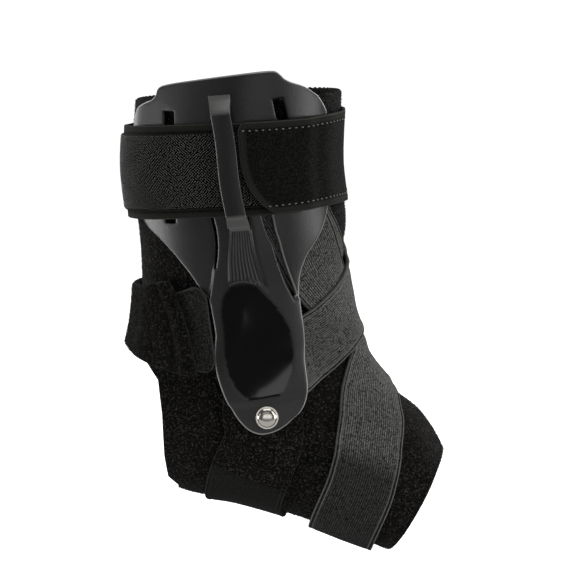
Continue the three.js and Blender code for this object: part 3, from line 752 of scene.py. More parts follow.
@dataclass(frozen=True)
class Plated(Finish):
    """Nickel plate on brass: mirror bright with very fine scratches."""

    def detail(self, tree: bpy.types.NodeTree, shader: bpy.types.Node) -> None:
        """Metal with faint uneven polish."""
        shader.inputs["Metallic"].default_value = 1.0
        marks = self.speckle(tree, 1.4, 0.3, 0.8)
        range_to = {"Value": marks, "To Min": self.roughness, "To Max": self.roughness * 2}
        rough = add_node(tree, "ShaderNodeMapRange", range_to).outputs["Result"]
        tree.links.new(rough, shader.inputs["Roughness"])


@dataclass(frozen=True)
class Paper(Finish):
    """Matt white paper, lit evenly from behind so that it is white to the horizon."""

    colour: str = "#f6f6f4"
    roughness: float = 0.9
    specular: float = 0.1
    glow: float = 1.05

    def detail(self, tree: bpy.types.NodeTree, shader: bpy.types.Node) -> None:
        """The even light that comes through the paper."""
        shader.inputs["Emission Color"].default_value = linear("#ffffff")
        shader.inputs["Emission Strength"].default_value = self.glow


PLUSH = Plush("brushed_tricot_plush", "#080706", 0.95, 0.08)
NAP = Fibre("tricot_nap_fibres", "#0e0d0c", 0.9, 0.1)
ELASTIC = Woven("woven_elastic", "#0c0c0b", 0.85, 0.12)
SOLE_WEB = Woven(
    "smooth_sole_webbing", "#121110", 0.8, 0.15, "#33322f", 0.9, 1.1, 0.08, 1.2, "#2b2b29", 1.0,
)
LOOP_CLOTH = FineCloth("brushed_loop_cloth", "#0d0d0b", 0.9, 0.1, "#2c2c28", selvedge=3.6)
TAB_CLOTH = FineCloth("pressed_loop_cloth", "#121211", 0.85, 0.15, "#4b4b48", 0.8)
HOOK_GROUND = FineCloth("hook_tape_ground", "#060605", 0.9, 0.08, "#0e0e0d", 0.9, 0.1, "#2b2b29")
HOOK_NYLON = Finish("hook_nylon", "#74736f", 0.45, 0.4)
PLASTIC = Moulded("satin_moulded_plastic", "#1a1a18", 0.38, 0.7)
NICKEL = Plated("nickel_plate", "#e4e0d6", 0.13, 0.5)
# The beads are moulded with the plate; their paler colour is a painted highlight.
KNURL = Finish("knurl_beads_painted_highlight", "#55554f", 0.3, 0.6)
PALE_THREAD = Finish("waxed_pale_thread", "#8c8c86", 0.6, 0.3)


class Finishes:
    """Builds each material once."""

    made: dict[str, bpy.types.Material] = {}

    @classmethod
    def put(cls, piece: bpy.types.Object, finish: Finish, slot: Slot) -> bpy.types.Object:
        """Gives a piece its material."""
        if finish.name not in cls.made:
            cls.made[finish.name] = finish.build()
        piece.data.materials.append(cls.made[finish.name])
        return piece


# The gap that laid pieces keep in the solids, and how far the visible cloth fills it
LAY_GAP = 0.75
SETTLE = 0.55


@dataclass(frozen=True)
class Border:
    """Edge of a strap: a rounded lip, a raised cord and stitched grooves, as distances from the edge."""

    lip: float = 0.6
    cord_at: float = 0.9
    cord: float = 0.22
    grooves: tuple[float, ...] = (1.2, 2.9)
    groove: float = 0.16
    groove_width: float = 0.3

    def nodes(self) -> list[float]:
        """Distances at which the cloth has a line of points."""
        places = [0, 0.1, 0.3, 0.6, 0.9, 1.3]
        for groove in self.grooves:
            places += [groove - 0.3, groove, groove + 0.3]
        return places + [max(places) + 0.9]

    def relief(self, edge: Array, thickness: float) -> Array:
        """Height over the flat cloth at distances from the edge."""
        into = np.clip(1 - edge / self.lip, 0, 1)
        height = -0.5 * thickness * (1 - np.sqrt(1 - into**2))
        height += self.cord * np.exp(-(((edge - self.cord_at) / 0.45) ** 2))
        for groove in self.grooves:
            height -= self.groove * np.exp(-(((edge - groove) / self.groove_width) ** 2))
        return height


def edge_steps(length: float, nodes: Sequence[float], pitch: float) -> Array:
    """Shares of a length that lie close together at both ends."""
    first = nodes[-1]
    count = max(3, round((length - 2 * first) / pitch))
    inner = np.linspace(first, length - first, count)[1:-1]
    return np.concatenate([nodes, inner, length - np.array(nodes[::-1])]) / length


@dataclass
class Strap:
    """A strap laid on the form over the straps below it."""

    name: str
    node: str | None
    table: Sequence[tuple[float, float]]
    width: float = 35.0
    thickness: float = 1.2
    start: float = 0.0
    end: float = 0.0
    below: Sequence["Strap"] = ()
    finish: Finish = ELASTIC
    slot: Slot = Slot.ELASTIC
    border: Border = Border()
    seams: tuple[float, ...] = ()
    seam_thread: Finish = PALE_THREAD
    # Distances at the two edges up to which the strap is painted darker as shade, and the length of the
    # change.
    painted_shade_to: tuple[float, float] | None = None
    painted_shade_fade: float = 16.0
    stitch: float = 2.1
    stitch_gap: float = 0.9
    stitch_radius: float = 0.24
    pitch: float = 1.6
    margin: float = 4.0
    fade: float = 9.0

    def __post_init__(self) -> None:
        """Lays the route; without an end the strap runs as far as its route."""
        self.route = Route(self.table)
        self.end = self.end or self.route.length

    def width_at(self, share: Array) -> Array:
        """Width at shares of the length."""
        return self.width + 0 * share

    def start_at(self, across: Array) -> Array:
        """Distance of the first end at shares across."""
        return self.start + 0 * across

    def end_at(self, across: Array) -> Array:
        """Distance of the last end at shares across."""
        return self.end + 0 * across

    def under(self, around: Array, along: Array) -> Array:
        """Height of the lower side over the form."""
        return clearance(self.below, around, along)

    def relief(self, along: Array, across: Array) -> Array:
        """Height of the upper side over the flat cloth, at shares along and across."""
        return self.border.relief(self.edge(along, across), self.thickness)

    def edge(self, along: Array, across: Array) -> Array:
        """Distance to the nearest edge at shares along and across."""
        length = self.end_at(across) - self.start_at(across)
        side = np.minimum(across, 1 - across) * self.width_at(along)
        return np.minimum(side, np.minimum(along, 1 - along) * length)

    def cover(self, points: Array) -> Array:
        """Share of this strap's thickness that a piece over it has to clear at points of the form."""
        beyond = self.route.nearest(points) - self.width / 2 - self.margin
        return 1 - smooth(beyond / self.fade)

    def places(self, along: Array, across: Array) -> tuple[Array, Array]:
        """Distance and offset at shares along and across."""
        distance = mix(self.start_at(across), self.end_at(across), along)
        return distance, (across - 0.5) * self.width_at(along)

    def surface(self, along: Array, across: Array, rise: Array | float = 0.0) -> Array:
        """Points of the upper side at shares along and across, with a further rise."""
        spots = self.route.beside(*self.places(along, across))
        return FORM.lifted(*spots, self.under(*spots) + self.thickness + rise)

    def shares(self) -> tuple[Array, Array]:
        """Grid of shares along and across with lines close together at the edges."""
        nodes = self.border.nodes()
        along = edge_steps(self.end - self.start, nodes, self.pitch)
        across = edge_steps(self.width, nodes, self.pitch)
        return np.meshgrid(along, across, indexing="ij")

    def cloth(self) -> bpy.types.Object:
        """Makes the closed cloth body with its place on the cloth as UV."""
        along, across = self.shares()
        distance, offset = self.places(along, across)
        spots = self.route.beside(distance, offset)
        under = self.under(*spots)
        relief = self.relief(along, across)
        high = FORM.lifted(*spots, under + self.thickness + relief)
        low = FORM.lifted(*spots, under - SETTLE - np.minimum(relief, 0) * 0.6)
        uv = np.stack([distance, offset], -1).reshape(-1, 2)
        piece = new_piece(self.name, *slab(low, high), np.concatenate([uv, uv]))
        give_value(piece, "edge", np.tile(self.edge(along, across).ravel(), 2))
        # The rough value carries painted shade, not roughness.
        give_value(piece, "rough", np.tile(self.outside_painted_shade(distance, across).ravel(), 2))
        Finishes.put(piece, self.finish, self.slot)
        if self.node:
            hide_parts(self.node)
        return piece

    def outside_painted_shade(self, distance: Array, across: Array) -> Array:
        """Share of the cloth outside the painted shade; up to a slanting line across the strap its light
        grains are dimmed as painted shade.
        """
        if not self.painted_shade_to:
            return 1 + 0 * distance
        return smooth((distance - mix(*self.painted_shade_to, across)) / self.painted_shade_fade + 0.5)

    def stitching(self, first: float = 0.0, last: float = 1.0) -> bpy.types.Object:
        """Rows of stitches along both long edges.

        Args:
            first, last: the shares of the length between which they run.

        Returns:
            The piece.
        """
        length = self.end - self.start
        pitch = (self.stitch + self.stitch_gap) / length
        starts = np.arange(first + 1.5 / length, last - pitch, pitch)
        points = []
        for share in (starts, starts + self.stitch / length):
            lines = []
            for seam in self.seams:
                side = seam / self.width_at(share)
                lines += [self.surface(share, side, 0.05), self.surface(share, 1 - side, 0.05)]
            points.append(np.concatenate(lines))
        middle = FORM.frame(*self.route.spot(self.start + starts * length))[2]
        outward = np.tile(middle, (2 * len(self.seams), 1))
        piece = new_piece(f"{self.name}_stitching", *spindles(*points, outward, self.stitch_radius))
        return Finishes.put(piece, self.seam_thread, self.slot)

    def build(self) -> bpy.types.Object:
        piece = self.cloth()
        trim = [self.stitching()] if self.seams else []
        self.declare(piece, trim)
        return piece

    def declare(self, piece: bpy.types.Object, trim: Sequence[bpy.types.Object]) -> None:
        """Does nothing."""


def clearance(below: Sequence[Strap], around: Array, along: Array) -> Array:
    """Height over the form that clears straps laid on it.

    Args:
        below: the straps.
        around, along: places on the form.

    Returns:
        The height of the next piece's lower side.
    """
    points = FORM.point(around, along)
    height = np.full(points.shape[:-1], LAY_GAP)
    for strap in below:
        height += (strap.thickness + LAY_GAP) * strap.cover(points)
    return height


def inside_outline(points: Array, outline: Array) -> Array:
    """Which flat points lie inside a closed outline.

    Args:
        points: the places.
        outline: the corners in order.

    Returns:
        True or false for each point.
    """
    x, y = points[:, 0], points[:, 1]
    inside = np.zeros(len(points), bool)
    for a, b in zip(outline, np.roll(outline, -1, axis=0)):
        crosses = (a[1] > y) != (b[1] > y)
        rise = b[1] - a[1] if b[1] != a[1] else 1e-12
        inside ^= crosses & (x < (b[0] - a[0]) * (y - a[1]) / rise + a[0])
    return inside


def to_outline(points: Array, outline: Array) -> Array:
    """Distance from flat points to a closed outline.

    Args:
        points: the places.
        outline: the corners in order.

    Returns:
        One distance for each point.
    """
    a, b = outline, np.roll(outline, -1, axis=0)
    way = b - a
    square = np.maximum(dot(way, way), 1e-12)
    found = np.empty(len(points))
    block = 1500
    for i in range(0, len(points), block):
        gap = points[i : i + block, None] - a[None]
        share = np.clip(dot(gap, way[None]) / square, 0, 1)
        gap = gap - way[None] * share[..., None]
        found[i : i + block] = np.sqrt(dot(gap, gap).min(1))
    return found


def nearest_gap(points: Array, others: Array) -> Array:
    """Distance from each point to the nearest of others."""
    blocks = np.array_split(points, max(1, len(points) // 400))
    return np.sqrt(np.concatenate([((b[:, None] - others[None]) ** 2).sum(-1).min(1) for b in blocks]))


def round_corners(outline: Array, times: int = 2) -> Array:
    """Cuts the corners of a closed outline again and again."""
    for _ in range(times):
        ahead = np.roll(outline, -1, axis=0)
        outline = np.stack([mix(outline, ahead, 0.25), mix(outline, ahead, 0.75)], 1).reshape(-1, 2)
    return outline


def even_steps(outline: Array, step: float) -> Array:
    """Closed outline with points an even step apart."""
    closed = np.vstack([outline, outline[:1]])
    length = np.concatenate([[0], np.cumsum(np.linalg.norm(np.diff(closed, axis=0), axis=1))])
    places = np.linspace(0, length[-1], max(8, round(length[-1] / step)), endpoint=False)
    return np.stack([np.interp(places, length, closed[:, k]) for k in (0, 1)], -1)


def beside_outline(outline: Array, inset: float) -> Array:
    """Points at an inset to the left of a closed outline."""
    way = unit(np.roll(outline, -1, axis=0) - np.roll(outline, 1, axis=0))
    return outline + np.stack([-way[:, 1], way[:, 0]], -1) * inset


def channel(line: Sequence[tuple[float, float]], widths: tuple[float, float]) -> Array:
    """Closed outline of a slot with square ends, along a line of across and up.

    Args:
        line: middle line in millimetres.
        widths: width at its first and last end.

    Returns:
        The outline.
    """
    places = np.linspace(0, len(line) - 1, 25)
    middle = catmull(np.array(line, float), places)
    way = unit(np.gradient(middle, axis=0))
    left = np.stack([-way[:, 1], way[:, 0]], -1)
    half = np.linspace(widths[0], widths[1], len(middle))[:, None] / 2
    return np.vstack([middle + left * half, (middle - left * half)[::-1]])


# Lines on the stay, as across (towards the back) and up, in millimetres from the tip of its foot
DISH_EDGE = (
    (4, 80.3), (10, 79), (14.6, 73), (17, 63), (17.3, 45), (15.6, 34), (11.8, 23), (7, 17), (1, 14.5),
    (-6, 16), (-12, 20.5), (-16, 28), (-17.9, 38), (-16, 49), (-13.4, 56), (-10.5, 65), (-6.5, 72),
    (-4.5, 76.5), (-1, 79.3),
)
BACK_SLIT = ((14.4, 121), (12.9, 106), (12.9, 96), (14.6, 88))
FRONT_SLIT = ((-11.2, 121), (-13, 105), (-15.2, 97), (-18, 77), (-19.4, 68))
BACK_SLOT = ((36.2, 113), (31, 168.6))
FRONT_SLOT = ((-27.6, 117), (-22.5, 170))
# Columns: up, across
FRAME_BACK = ((69, 30), (70.5, 21.5), (82, 17.2), (95.5, 13), (118, 13.4))
FRAME_FRONT = ((65, -30), (66, -18.6), (75, -16.3), (98.5, -13.6), (105.5, -10.6), (118, -8.6))
NECK_BACK = ((80, 9), (101.5, 6), (116, 4.6))
NECK_FRONT = ((79.5, -7), (98.5, -4.4), (116, -3))


@dataclass
class Stay:
    """The moulded stay: a plate wrapped on the form with a raised frame, a dish and a ribbed neck."""

    length: float = 186.0
    width: float = 99.0
    thickness: float = 2.0
    stand_off: float = 5.2
    ridge: float = 1.2
    round_edge: float = 0.8
    frame_start: float = 14.0
    frame_fade: float = 5.0
    frame_end: float = 124.0
    neck_wall: float = 2.4
    dish_step: float = 0.05
    dish_bowl: float = 0.6
    dish_reach: float = 16.0
    neck_ribs: int = 9
    neck_top: float = 118.0
    rib_height: float = 0.15
    grid: float = 1.25
    edge_insets: tuple[float, ...] = (0.15, 0.4, 0.85)
    dish_insets: tuple[float, ...] = (-0.35, 0.3, 0.75)
    wall_lines: tuple[float, ...] = (-1.1, -0.5, 0, 0.5, 1.1)
    wall_step: float = 0.9
    bead: float = 0.85
    bead_pitch: float = 1.15
    bead_radius: float = 0.42
    bead_rise: float = 0.12

    def __post_init__(self) -> None:
        """Lays the middle line and the outlines."""
        self.route = Route(STAY)
        self.outline = self.edge_line()
        self.dish = even_steps(round_corners(np.array(DISH_EDGE, float), 3)[::-1], 0.8)
        slots = [channel(BACK_SLIT, (1.5, 1.0)), channel(FRONT_SLIT, (4.8, 1.7))]
        slots += [channel(BACK_SLOT, (5.6, 5.6)), channel(FRONT_SLOT, (5, 5))]
        self.holes = [even_steps(slot, 0.7) for slot in slots]

    def edge_line(self) -> Array:
        """Outline of the plate, up the back, along the top, down the front and round the foot."""
        scale = np.array([self.width, self.length])
        sides = np.array(STAY_SIDES)
        back = sides[:, [1, 0]] * scale
        front = sides[:, [2, 0]] * scale * (-1, 1)
        top = np.array(STAY_TOP) * scale
        foot = np.array(STAY_FOOT)[::-1]
        return even_steps(round_corners(np.vstack([back, top, front[::-1], foot])), 1.0)

    def lift(self, around: Array) -> Array:
        """Height of the under side over the form, softened over a few degrees."""
        table = np.array(STAY_LIFT)
        parts = [np.interp(around + turn, table[:, 0], table[:, 1]) for turn in (-6, -3, 0, 3, 6)]
        return self.stand_off * np.mean(parts, axis=0)

    def over(self, around: Array) -> Array:
        """Height of the upper side over the form, without the frame."""
        return self.lift(around) + self.thickness

    def spots(self, flat: Array) -> tuple[Array, Array]:
        """around and along of places on the plate, given as across and up."""
        return self.route.beside(flat[:, 1] / self.length * self.route.length, flat[:, 0])

    def within(self, flat: Array, back: Sequence, front: Sequence, walls: tuple[float, float]) -> Array:
        """Share of being between a back and a front line.

        Args:
            flat: places on the plate.
            back, front: the lines, as rows of up and across.
            walls: width of the soft wall at each line.

        Returns:
            Shares from 0 outside to 1 inside.
        """
        rows = [np.array(line, float) for line in (back, front)]
        limits = [np.interp(flat[:, 1], row[:, 0], row[:, 1]) for row in rows]
        first = smooth((limits[0] - flat[:, 0]) / walls[0] + 0.5)
        return first * smooth((flat[:, 0] - limits[1]) / walls[1] + 0.5)

    def frame_share(self, flat: Array) -> Array:
        """Where the frame is raised: the foot above the rivet and the neck between the slits."""
        raised = self.within(flat, FRAME_BACK, FRAME_FRONT, (1.0, 1.0))
        raised *= smooth((self.frame_end - flat[:, 1]) / self.frame_fade)
        return raised * smooth((flat[:, 1] - self.frame_start) / self.frame_fade)

    def neck_share(self, flat: Array, from_dish: Array) -> Array:
        """Where the ribbed recess of the neck is."""
        side = self.within(flat, NECK_BACK, NECK_FRONT, (1.1, self.neck_wall))
        return side * smooth((from_dish - 1.1) / 0.7) * (flat[:, 1] > 70) * (flat[:, 1] < self.neck_top)

    def neck_place(self, flat: Array) -> Array:
        """Share across the ribbed recess."""
        back, front = (np.array(line) for line in (NECK_BACK, NECK_FRONT))
        left = np.interp(flat[:, 1], back[:, 0], back[:, 1])
        right = np.interp(flat[:, 1], front[:, 0], front[:, 1])
        return (left - flat[:, 0]) / (left - right)

    def crest(self, flat: Array) -> Array:
        """Shares of the neck's ribs, from 0 in a valley to 1 on a crest."""
        return 0.5 - 0.5 * np.cos(2 * math.pi * self.neck_ribs * self.neck_place(flat))

    def relief(self, flat: Array) -> tuple[Array, Array]:
        """Relief of the plate's upper side.

        Args:
            flat: places on the plate.

        Returns:
            Height over the flat plate, and how far inside the dish each place is.
        """
        from_dish = to_outline(flat, self.dish)
        inside = inside_outline(flat, self.dish)
        neck = self.neck_share(flat, np.where(inside, 0, from_dish))
        ribs = self.rib_height * self.crest(flat)
        height = self.ridge * self.frame_share(flat) * (1 - neck) + ribs * neck
        depth = np.where(inside, from_dish, 0)
        bowl = 1 - (1 - np.minimum(depth / self.dish_reach, 1)) ** 2
        return height - self.dish_step * smooth(depth / 0.7) - self.dish_bowl * bowl, depth

    def plate_points(self) -> tuple[Array, list[tuple[int, int]]]:
        """Places for the plate's vertices, and the edges of its outline and holes."""
        loops = [self.outline, *self.holes]
        edges = []
        first = 0
        for loop in loops:
            count = len(loop)
            edges += [(first + k, first + (k + 1) % count) for k in range(count)]
            first += count
        lines = []
        for inset in self.edge_insets:
            for k, loop in enumerate(loops):
                beside = beside_outline(loop, inset if self.turns_left(loop) == (k == 0) else -inset)
                lines.append(beside[self.clear(beside, loops) > 0.9 * inset])
        for inset in self.dish_insets:
            lines.append(beside_outline(self.dish, -inset))
        for line in (FRAME_BACK[1:], FRAME_FRONT[1:], NECK_FRONT):
            rows = np.array(line, float)
            up = np.arange(rows[0, 0], rows[-1, 0], self.wall_step)
            for beside in self.wall_lines:
                lines.append(np.stack([np.interp(up, rows[:, 0], rows[:, 1]) + beside, up], -1))
        lines.append(self.neck_points())
        fixed = np.vstack(lines)
        fixed = fixed[self.clear(fixed, loops) > 0.12]
        grid = self.hexagons()
        grid = grid[self.clear(grid, loops) > 1.4]
        grid = grid[nearest_gap(grid, fixed) > 0.7]
        return np.vstack([*loops, fixed, grid]), edges

    def turns_left(self, loop: Array) -> bool:
        """Whether a closed outline runs anticlockwise."""
        ahead = np.roll(loop, -1, axis=0)
        return (loop[:, 0] * ahead[:, 1] - loop[:, 1] * ahead[:, 0]).sum() > 0

    def clear(self, flat: Array, loops: Sequence[Array]) -> Array:
        """How clear of every edge places are.

        Args:
            flat: places on the plate.
            loops: the plate's outline, then its holes.

        Returns:
            Distance to the nearest outline, or less than nothing off the plate.
        """
        inside = inside_outline(flat, loops[0])
        for hole in loops[1:]:
            inside &= ~inside_outline(flat, hole)
        nearest = np.min([to_outline(flat, loop) for loop in loops], axis=0)
        return np.where(inside, nearest, -nearest)

    def neck_points(self) -> Array:
        """Fine grid over the ribs of the neck."""
        up = np.arange(78.0, 116, 1.2)
        share = np.linspace(-0.06, 1.06, 9 * self.neck_ribs)
        back, front = (np.array(line) for line in (NECK_BACK, NECK_FRONT))
        left = np.interp(up, back[:, 0], back[:, 1])[:, None]
        right = np.interp(up, front[:, 0], front[:, 1])[:, None]
        flat = np.stack([mix(left, right, share), np.repeat(up[:, None], len(share), 1)], -1).reshape(-1, 2)
        return flat[(to_outline(flat, self.dish) > 0.5) & ~inside_outline(flat, self.dish)]

    def hexagons(self) -> Array:
        """Staggered grid of points over the whole plate."""
        across = np.arange(-self.width / 2 - 2, self.width / 2 + 4, self.grid)
        up = np.arange(0, self.length + 1, self.grid * math.sqrt(3) / 2)
        flat = np.stack(np.meshgrid(across, up, indexing="ij"), -1)
        flat[:, 1::2, 0] += self.grid / 2
        return flat.reshape(-1, 2)

    def build(self) -> bpy.types.Object:
        """Makes the plate."""
        flat, edges = self.plate_points()
        cut = delaunay_2d_cdt([Vector(p) for p in flat.tolist()], edges, [], 0, 1e-4)
        flat, tris = np.array([tuple(v) for v in cut[0]]), np.array(cut[2])
        middle = flat[tris].mean(1)
        tris = tris[self.clear(middle, [self.outline, *self.holes]) > 0]
        used = np.unique(tris)
        number = np.full(len(flat), -1)
        number[used] = np.arange(len(used))
        flat, tris = flat[used], number[tris]
        from_edge = np.min([to_outline(flat, loop) for loop in (self.outline, *self.holes)], axis=0)
        relief, depth = self.relief(flat)
        into = np.clip(1 - from_edge / self.round_edge, 0, 1)
        drop = self.round_edge * (1 - np.sqrt(1 - into**2))
        around, along = self.spots(flat)
        high = FORM.lifted(around, along, self.over(around) + relief - drop)
        low = FORM.lifted(around, along, self.lift(around) - 0.3 + 0.4 * drop)
        points = np.concatenate([high, low])
        piece = new_piece("stay_plate", points, outward_faces(points, self.closed(tris, len(flat))))
        neck = self.neck_share(flat, np.where(depth > 0, 0, to_outline(flat, self.dish)))
        crest = self.crest(flat)
        # Painted highlight: a pale line along the plate's outline and the front slit's front border, and on
        # the neck's rib crests.
        bright = np.maximum(1 - smooth((self.from_painted_highlight_edge(flat) - 0.3) / 0.5), 0.2 * neck * crest**3)
        # Painted shade: the dish and the valleys between the neck's ribs are darkened.
        painted_shade = np.maximum(smooth((depth - 0.25) / 0.5), 0.35 * neck * (1 - crest**3))
        give_value(piece, "rim", np.tile(bright, 2))
        give_value(piece, "dish", np.concatenate([painted_shade, np.zeros(len(flat))]))
        Finishes.put(piece, PLASTIC, Slot.PLASTIC)
        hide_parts("stay_shell")
        return piece

    def from_painted_highlight_edge(self, flat: Array) -> Array:
        """Distance to the edges that carry the painted highlight: the plate's outline and the front slit's
        front border.
        """
        slit = np.array(FRONT_SLIT[::-1], float)
        behind = flat[:, 0] > np.interp(flat[:, 1], slit[:, 1], slit[:, 0])
        far = 10.0
        return np.minimum(to_outline(flat, self.outline), to_outline(flat, self.holes[1]) + far * behind)

    def closed(self, tris: Array, count: int) -> Array:
        """Closes the plate.

        Args:
            tris: triangles of its upper side.
            count: number of points on each side.

        Returns:
            Triangles of both sides and of the rim between them.
        """
        sides = np.concatenate([tris[:, [0, 1]], tris[:, [1, 2]], tris[:, [2, 0]]])
        known = {tuple(side) for side in sides.tolist()}
        rim = np.array([side for side in known if side[::-1] not in known])
        a, b = rim[:, 0], rim[:, 1]
        first = np.stack([b, a, a + count], -1)
        second = np.stack([b, a + count, b + count], -1)
        return np.concatenate([tris, tris[:, ::-1] + count, first, second])

    def knurl(self) -> bpy.types.Object:
        """Row of small beads on the dish's upper edge."""
        upper = self.dish[(self.dish[:, 1] > 76.5) & (self.dish[:, 0] > -7) & (self.dish[:, 0] < 9)]
        upper = upper[np.argsort(-upper[:, 0])]
        length = np.concatenate([[0], np.cumsum(np.linalg.norm(np.diff(upper, axis=0), axis=1))])
        starts = np.arange(0.2, length[-1] - self.bead_pitch, self.bead_pitch)
        ends = []
        for place in (starts, starts + self.bead):
            flat = np.stack([np.interp(place, length, upper[:, k]) for k in (0, 1)], -1) + (0, 0.45)
            around, along = self.spots(flat)
            ends.append(FORM.lifted(around, along, self.over(around) + self.ridge + self.bead_rise))
        outward = FORM.frame(*self.spots(flat))[2]
        piece = new_piece("dish_knurl", *spindles(*ends, outward, self.bead_radius, 1.0))
        return Finishes.put(piece, KNURL, Slot.PLASTIC)


class HandShape:
    """A new mesh object shaped in edit mode, as by hand."""

    def __init__(self, name: str, add: Callable[[], object]) -> None:
        """Adds a primitive by itself, with nothing else selected."""
        bpy.ops.object.select_all(action="DESELECT")
        add()
        self.piece = bpy.context.active_object
        self.piece.name = name
        self.piece.data.name = name

    def select(self, test: Callable[[Vector], bool], kind: str = "FACE") -> None:
        """Selects the faces or edges whose middle, in millimetres, passes a test."""
        bpy.ops.object.mode_set(mode="EDIT")
        bpy.ops.mesh.select_mode(type=kind)
        bpy.ops.mesh.select_all(action="DESELECT")
        bpy.ops.object.mode_set(mode="OBJECT")
        mesh = self.piece.data
        for part in mesh.polygons if kind == "FACE" else mesh.edges:
            spots = [mesh.vertices[k].co for k in part.vertices]
            part.select = bool(test(sum(spots, Vector()) / len(spots) / MM))
        bpy.ops.object.mode_set(mode="EDIT")

    def extrude(self, rise: float, width: float) -> None:
        """Pulls the selected faces up by millimetres and scales them to a share of their width."""
        move = {"value": (0, 0, rise * MM)}
        bpy.ops.mesh.extrude_region_move(TRANSFORM_OT_translate=move)
        bpy.ops.transform.resize(value=(width, width, 1))

    def finish(self, finish: Finish, slot: Slot, place: Callable[[Array], Array]) -> bpy.types.Object:
        """Puts each vertex in its place and dresses the piece.

        Args:
            finish, slot: its material, and a slot that is not used.
            place: gives the places of points, in millimetres.

        Returns:
            The piece.
        """
        bpy.ops.object.mode_set(mode="OBJECT")
        mesh = self.piece.data
        points = np.empty(len(mesh.vertices) * 3, np.float32)
        mesh.vertices.foreach_get("co", points)
        points = place(points.reshape(-1, 3).astype(float) / MM) * MM
        mesh.vertices.foreach_set("co", points.astype(np.float32).ravel())
        mesh.update()
        bpy.ops.object.select_all(action="DESELECT")
        self.piece.select_set(True)
        bpy.ops.object.mode_set(mode="EDIT")
        bpy.ops.mesh.select_all(action="SELECT")
        bpy.ops.mesh.normals_make_consistent(inside=False)
        bpy.ops.object.mode_set(mode="OBJECT")
        bpy.ops.object.shade_smooth_by_angle(angle=math.radians(40))
        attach(self.piece, BODY)
        return Finishes.put(self.piece, finish, slot)


@dataclass
class Keeper:
    """Bar that bridges the calf strap, one moulding with the stay."""

    stay: Stay
    width: float = 9.0
    foot_width: float = 10.6
    thickness: float = 2.4
    low: tuple[float, float] = (1.5, 106.0)
    high: tuple[float, float] = (4.2, 174.5)
    rise: float = 5.5
    toe: float = 1.2
    foot: float = 9.4
    sink: float = 0.8
    cuts: int = 44
    round_edge: float = 0.7
    painted_foot_highlight: float = 0.3

    def build(self) -> bpy.types.Object:
        """Shapes a block, cuts it into short lengths and wraps it over the strap."""
        length = self.high[1] - self.low[1]
        scale = (self.width * MM, length * MM, self.thickness * MM)
        bar = HandShape("keeper_bar", lambda: bpy.ops.mesh.primitive_cube_add(size=1, scale=scale))
        bpy.ops.object.transform_apply(location=False, rotation=False, scale=True)
        bpy.ops.object.mode_set(mode="EDIT")
        for place in np.linspace(-0.5, 0.5, self.cuts + 1)[1:-1]:
            bpy.ops.mesh.select_all(action="SELECT")
            bpy.ops.mesh.bisect(plane_co=(0, place * length * MM, 0), plane_no=(0, 1, 0))
        half, top = self.width / 2, self.thickness / 2
        bar.select(lambda p: abs(abs(p.x) - half) < 0.01 and abs(p.z - top) < 0.01, "EDGE")
        bpy.ops.mesh.bevel(offset=self.round_edge * MM, segments=3, affect="EDGES")
        bpy.ops.object.mode_set(mode="OBJECT")
        up = np.array([vertex.co.y for vertex in bar.piece.data.vertices]) / MM + length / 2
        from_end = np.minimum(up, length - up)
        # Painted highlight: the bar's feet are made paler through the plastic's rim value.
        give_value(bar.piece, "rim", self.painted_foot_highlight * (1 - smooth((from_end - self.foot + 1.5) / 1.5)))
        return bar.finish(PLASTIC, Slot.PLASTIC, self.wrap)

    def wrap(self, points: Array) -> Array:
        """Places of the bar's points over the form."""
        length = self.high[1] - self.low[1]
        share = points[:, 1] / length + 0.5
        flat = mix(np.array(self.low), np.array(self.high), share[:, None])
        from_end = np.minimum(share, 1 - share) * length
        upper = ramp((from_end - self.toe) / (self.foot - 1.5 - self.toe))
        wider = mix(self.foot_width / self.width, 1, upper)
        around, along = self.stay.spots(flat + np.stack([points[:, 0] * wider, 0 * share], -1))
        lower = ramp((from_end - self.toe - 1.2) / (self.foot - self.toe - 1.2))
        up = points[:, 2] / self.thickness + 0.5
        top = 1.0 + self.rise * upper
        bottom = (self.rise + 1.0 - self.thickness + self.sink) * lower - self.sink
        return FORM.lifted(around, along, self.stay.over(around) + mix(bottom, top, up))


def ramp(share: Array) -> Array:
    """Nearly straight slope from 0 to 1 with softened ends."""
    t = np.clip(share, 0, 1)
    return mix(t, smooth(t), 0.35)


@dataclass
class Rivet:
    """Domed cap of the rivet on its flange."""

    stay: Stay
    place: tuple[float, float] = (-0.5, 8.0)
    radius: float = 5.9
    flange: float = 0.55
    rings: tuple[tuple[float, float], ...] = (
        (0.35, 0.975), (0.0, 0.88), (0.5, 0.95), (0.5, 0.88), (0.4, 0.78), (0.22, 0.6), (0.08, 0.4),
    )
    sides: int = 48

    def build(self) -> bpy.types.Object:
        """Pulls the cap up from a disc, ring by ring."""
        disc = {"vertices": self.sides, "radius": self.radius * MM, "fill_type": "NGON"}
        cap = HandShape("rivet_head", lambda: bpy.ops.mesh.primitive_circle_add(**disc))
        bpy.ops.object.mode_set(mode="EDIT")
        bpy.ops.mesh.select_all(action="SELECT")
        cap.extrude(self.flange, 1.0)
        for rise, width in self.rings:
            cap.extrude(rise, width)
        piece = cap.finish(NICKEL, Slot.NICKEL, self.stand)
        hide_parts("rivet")
        return piece

    def stand(self, points: Array) -> Array:
        """Stands the cap on the foot of the stay."""
        around, along = self.stay.spots(np.array([self.place]))
        seat = FORM.lifted(around, along, self.stay.over(around) + 0.1)[0]
        across, _, outward = (v[0] for v in FORM.frame(around, along))
        side = unit(across)
        return seat + points @ np.stack([side, np.cross(outward, side), outward])


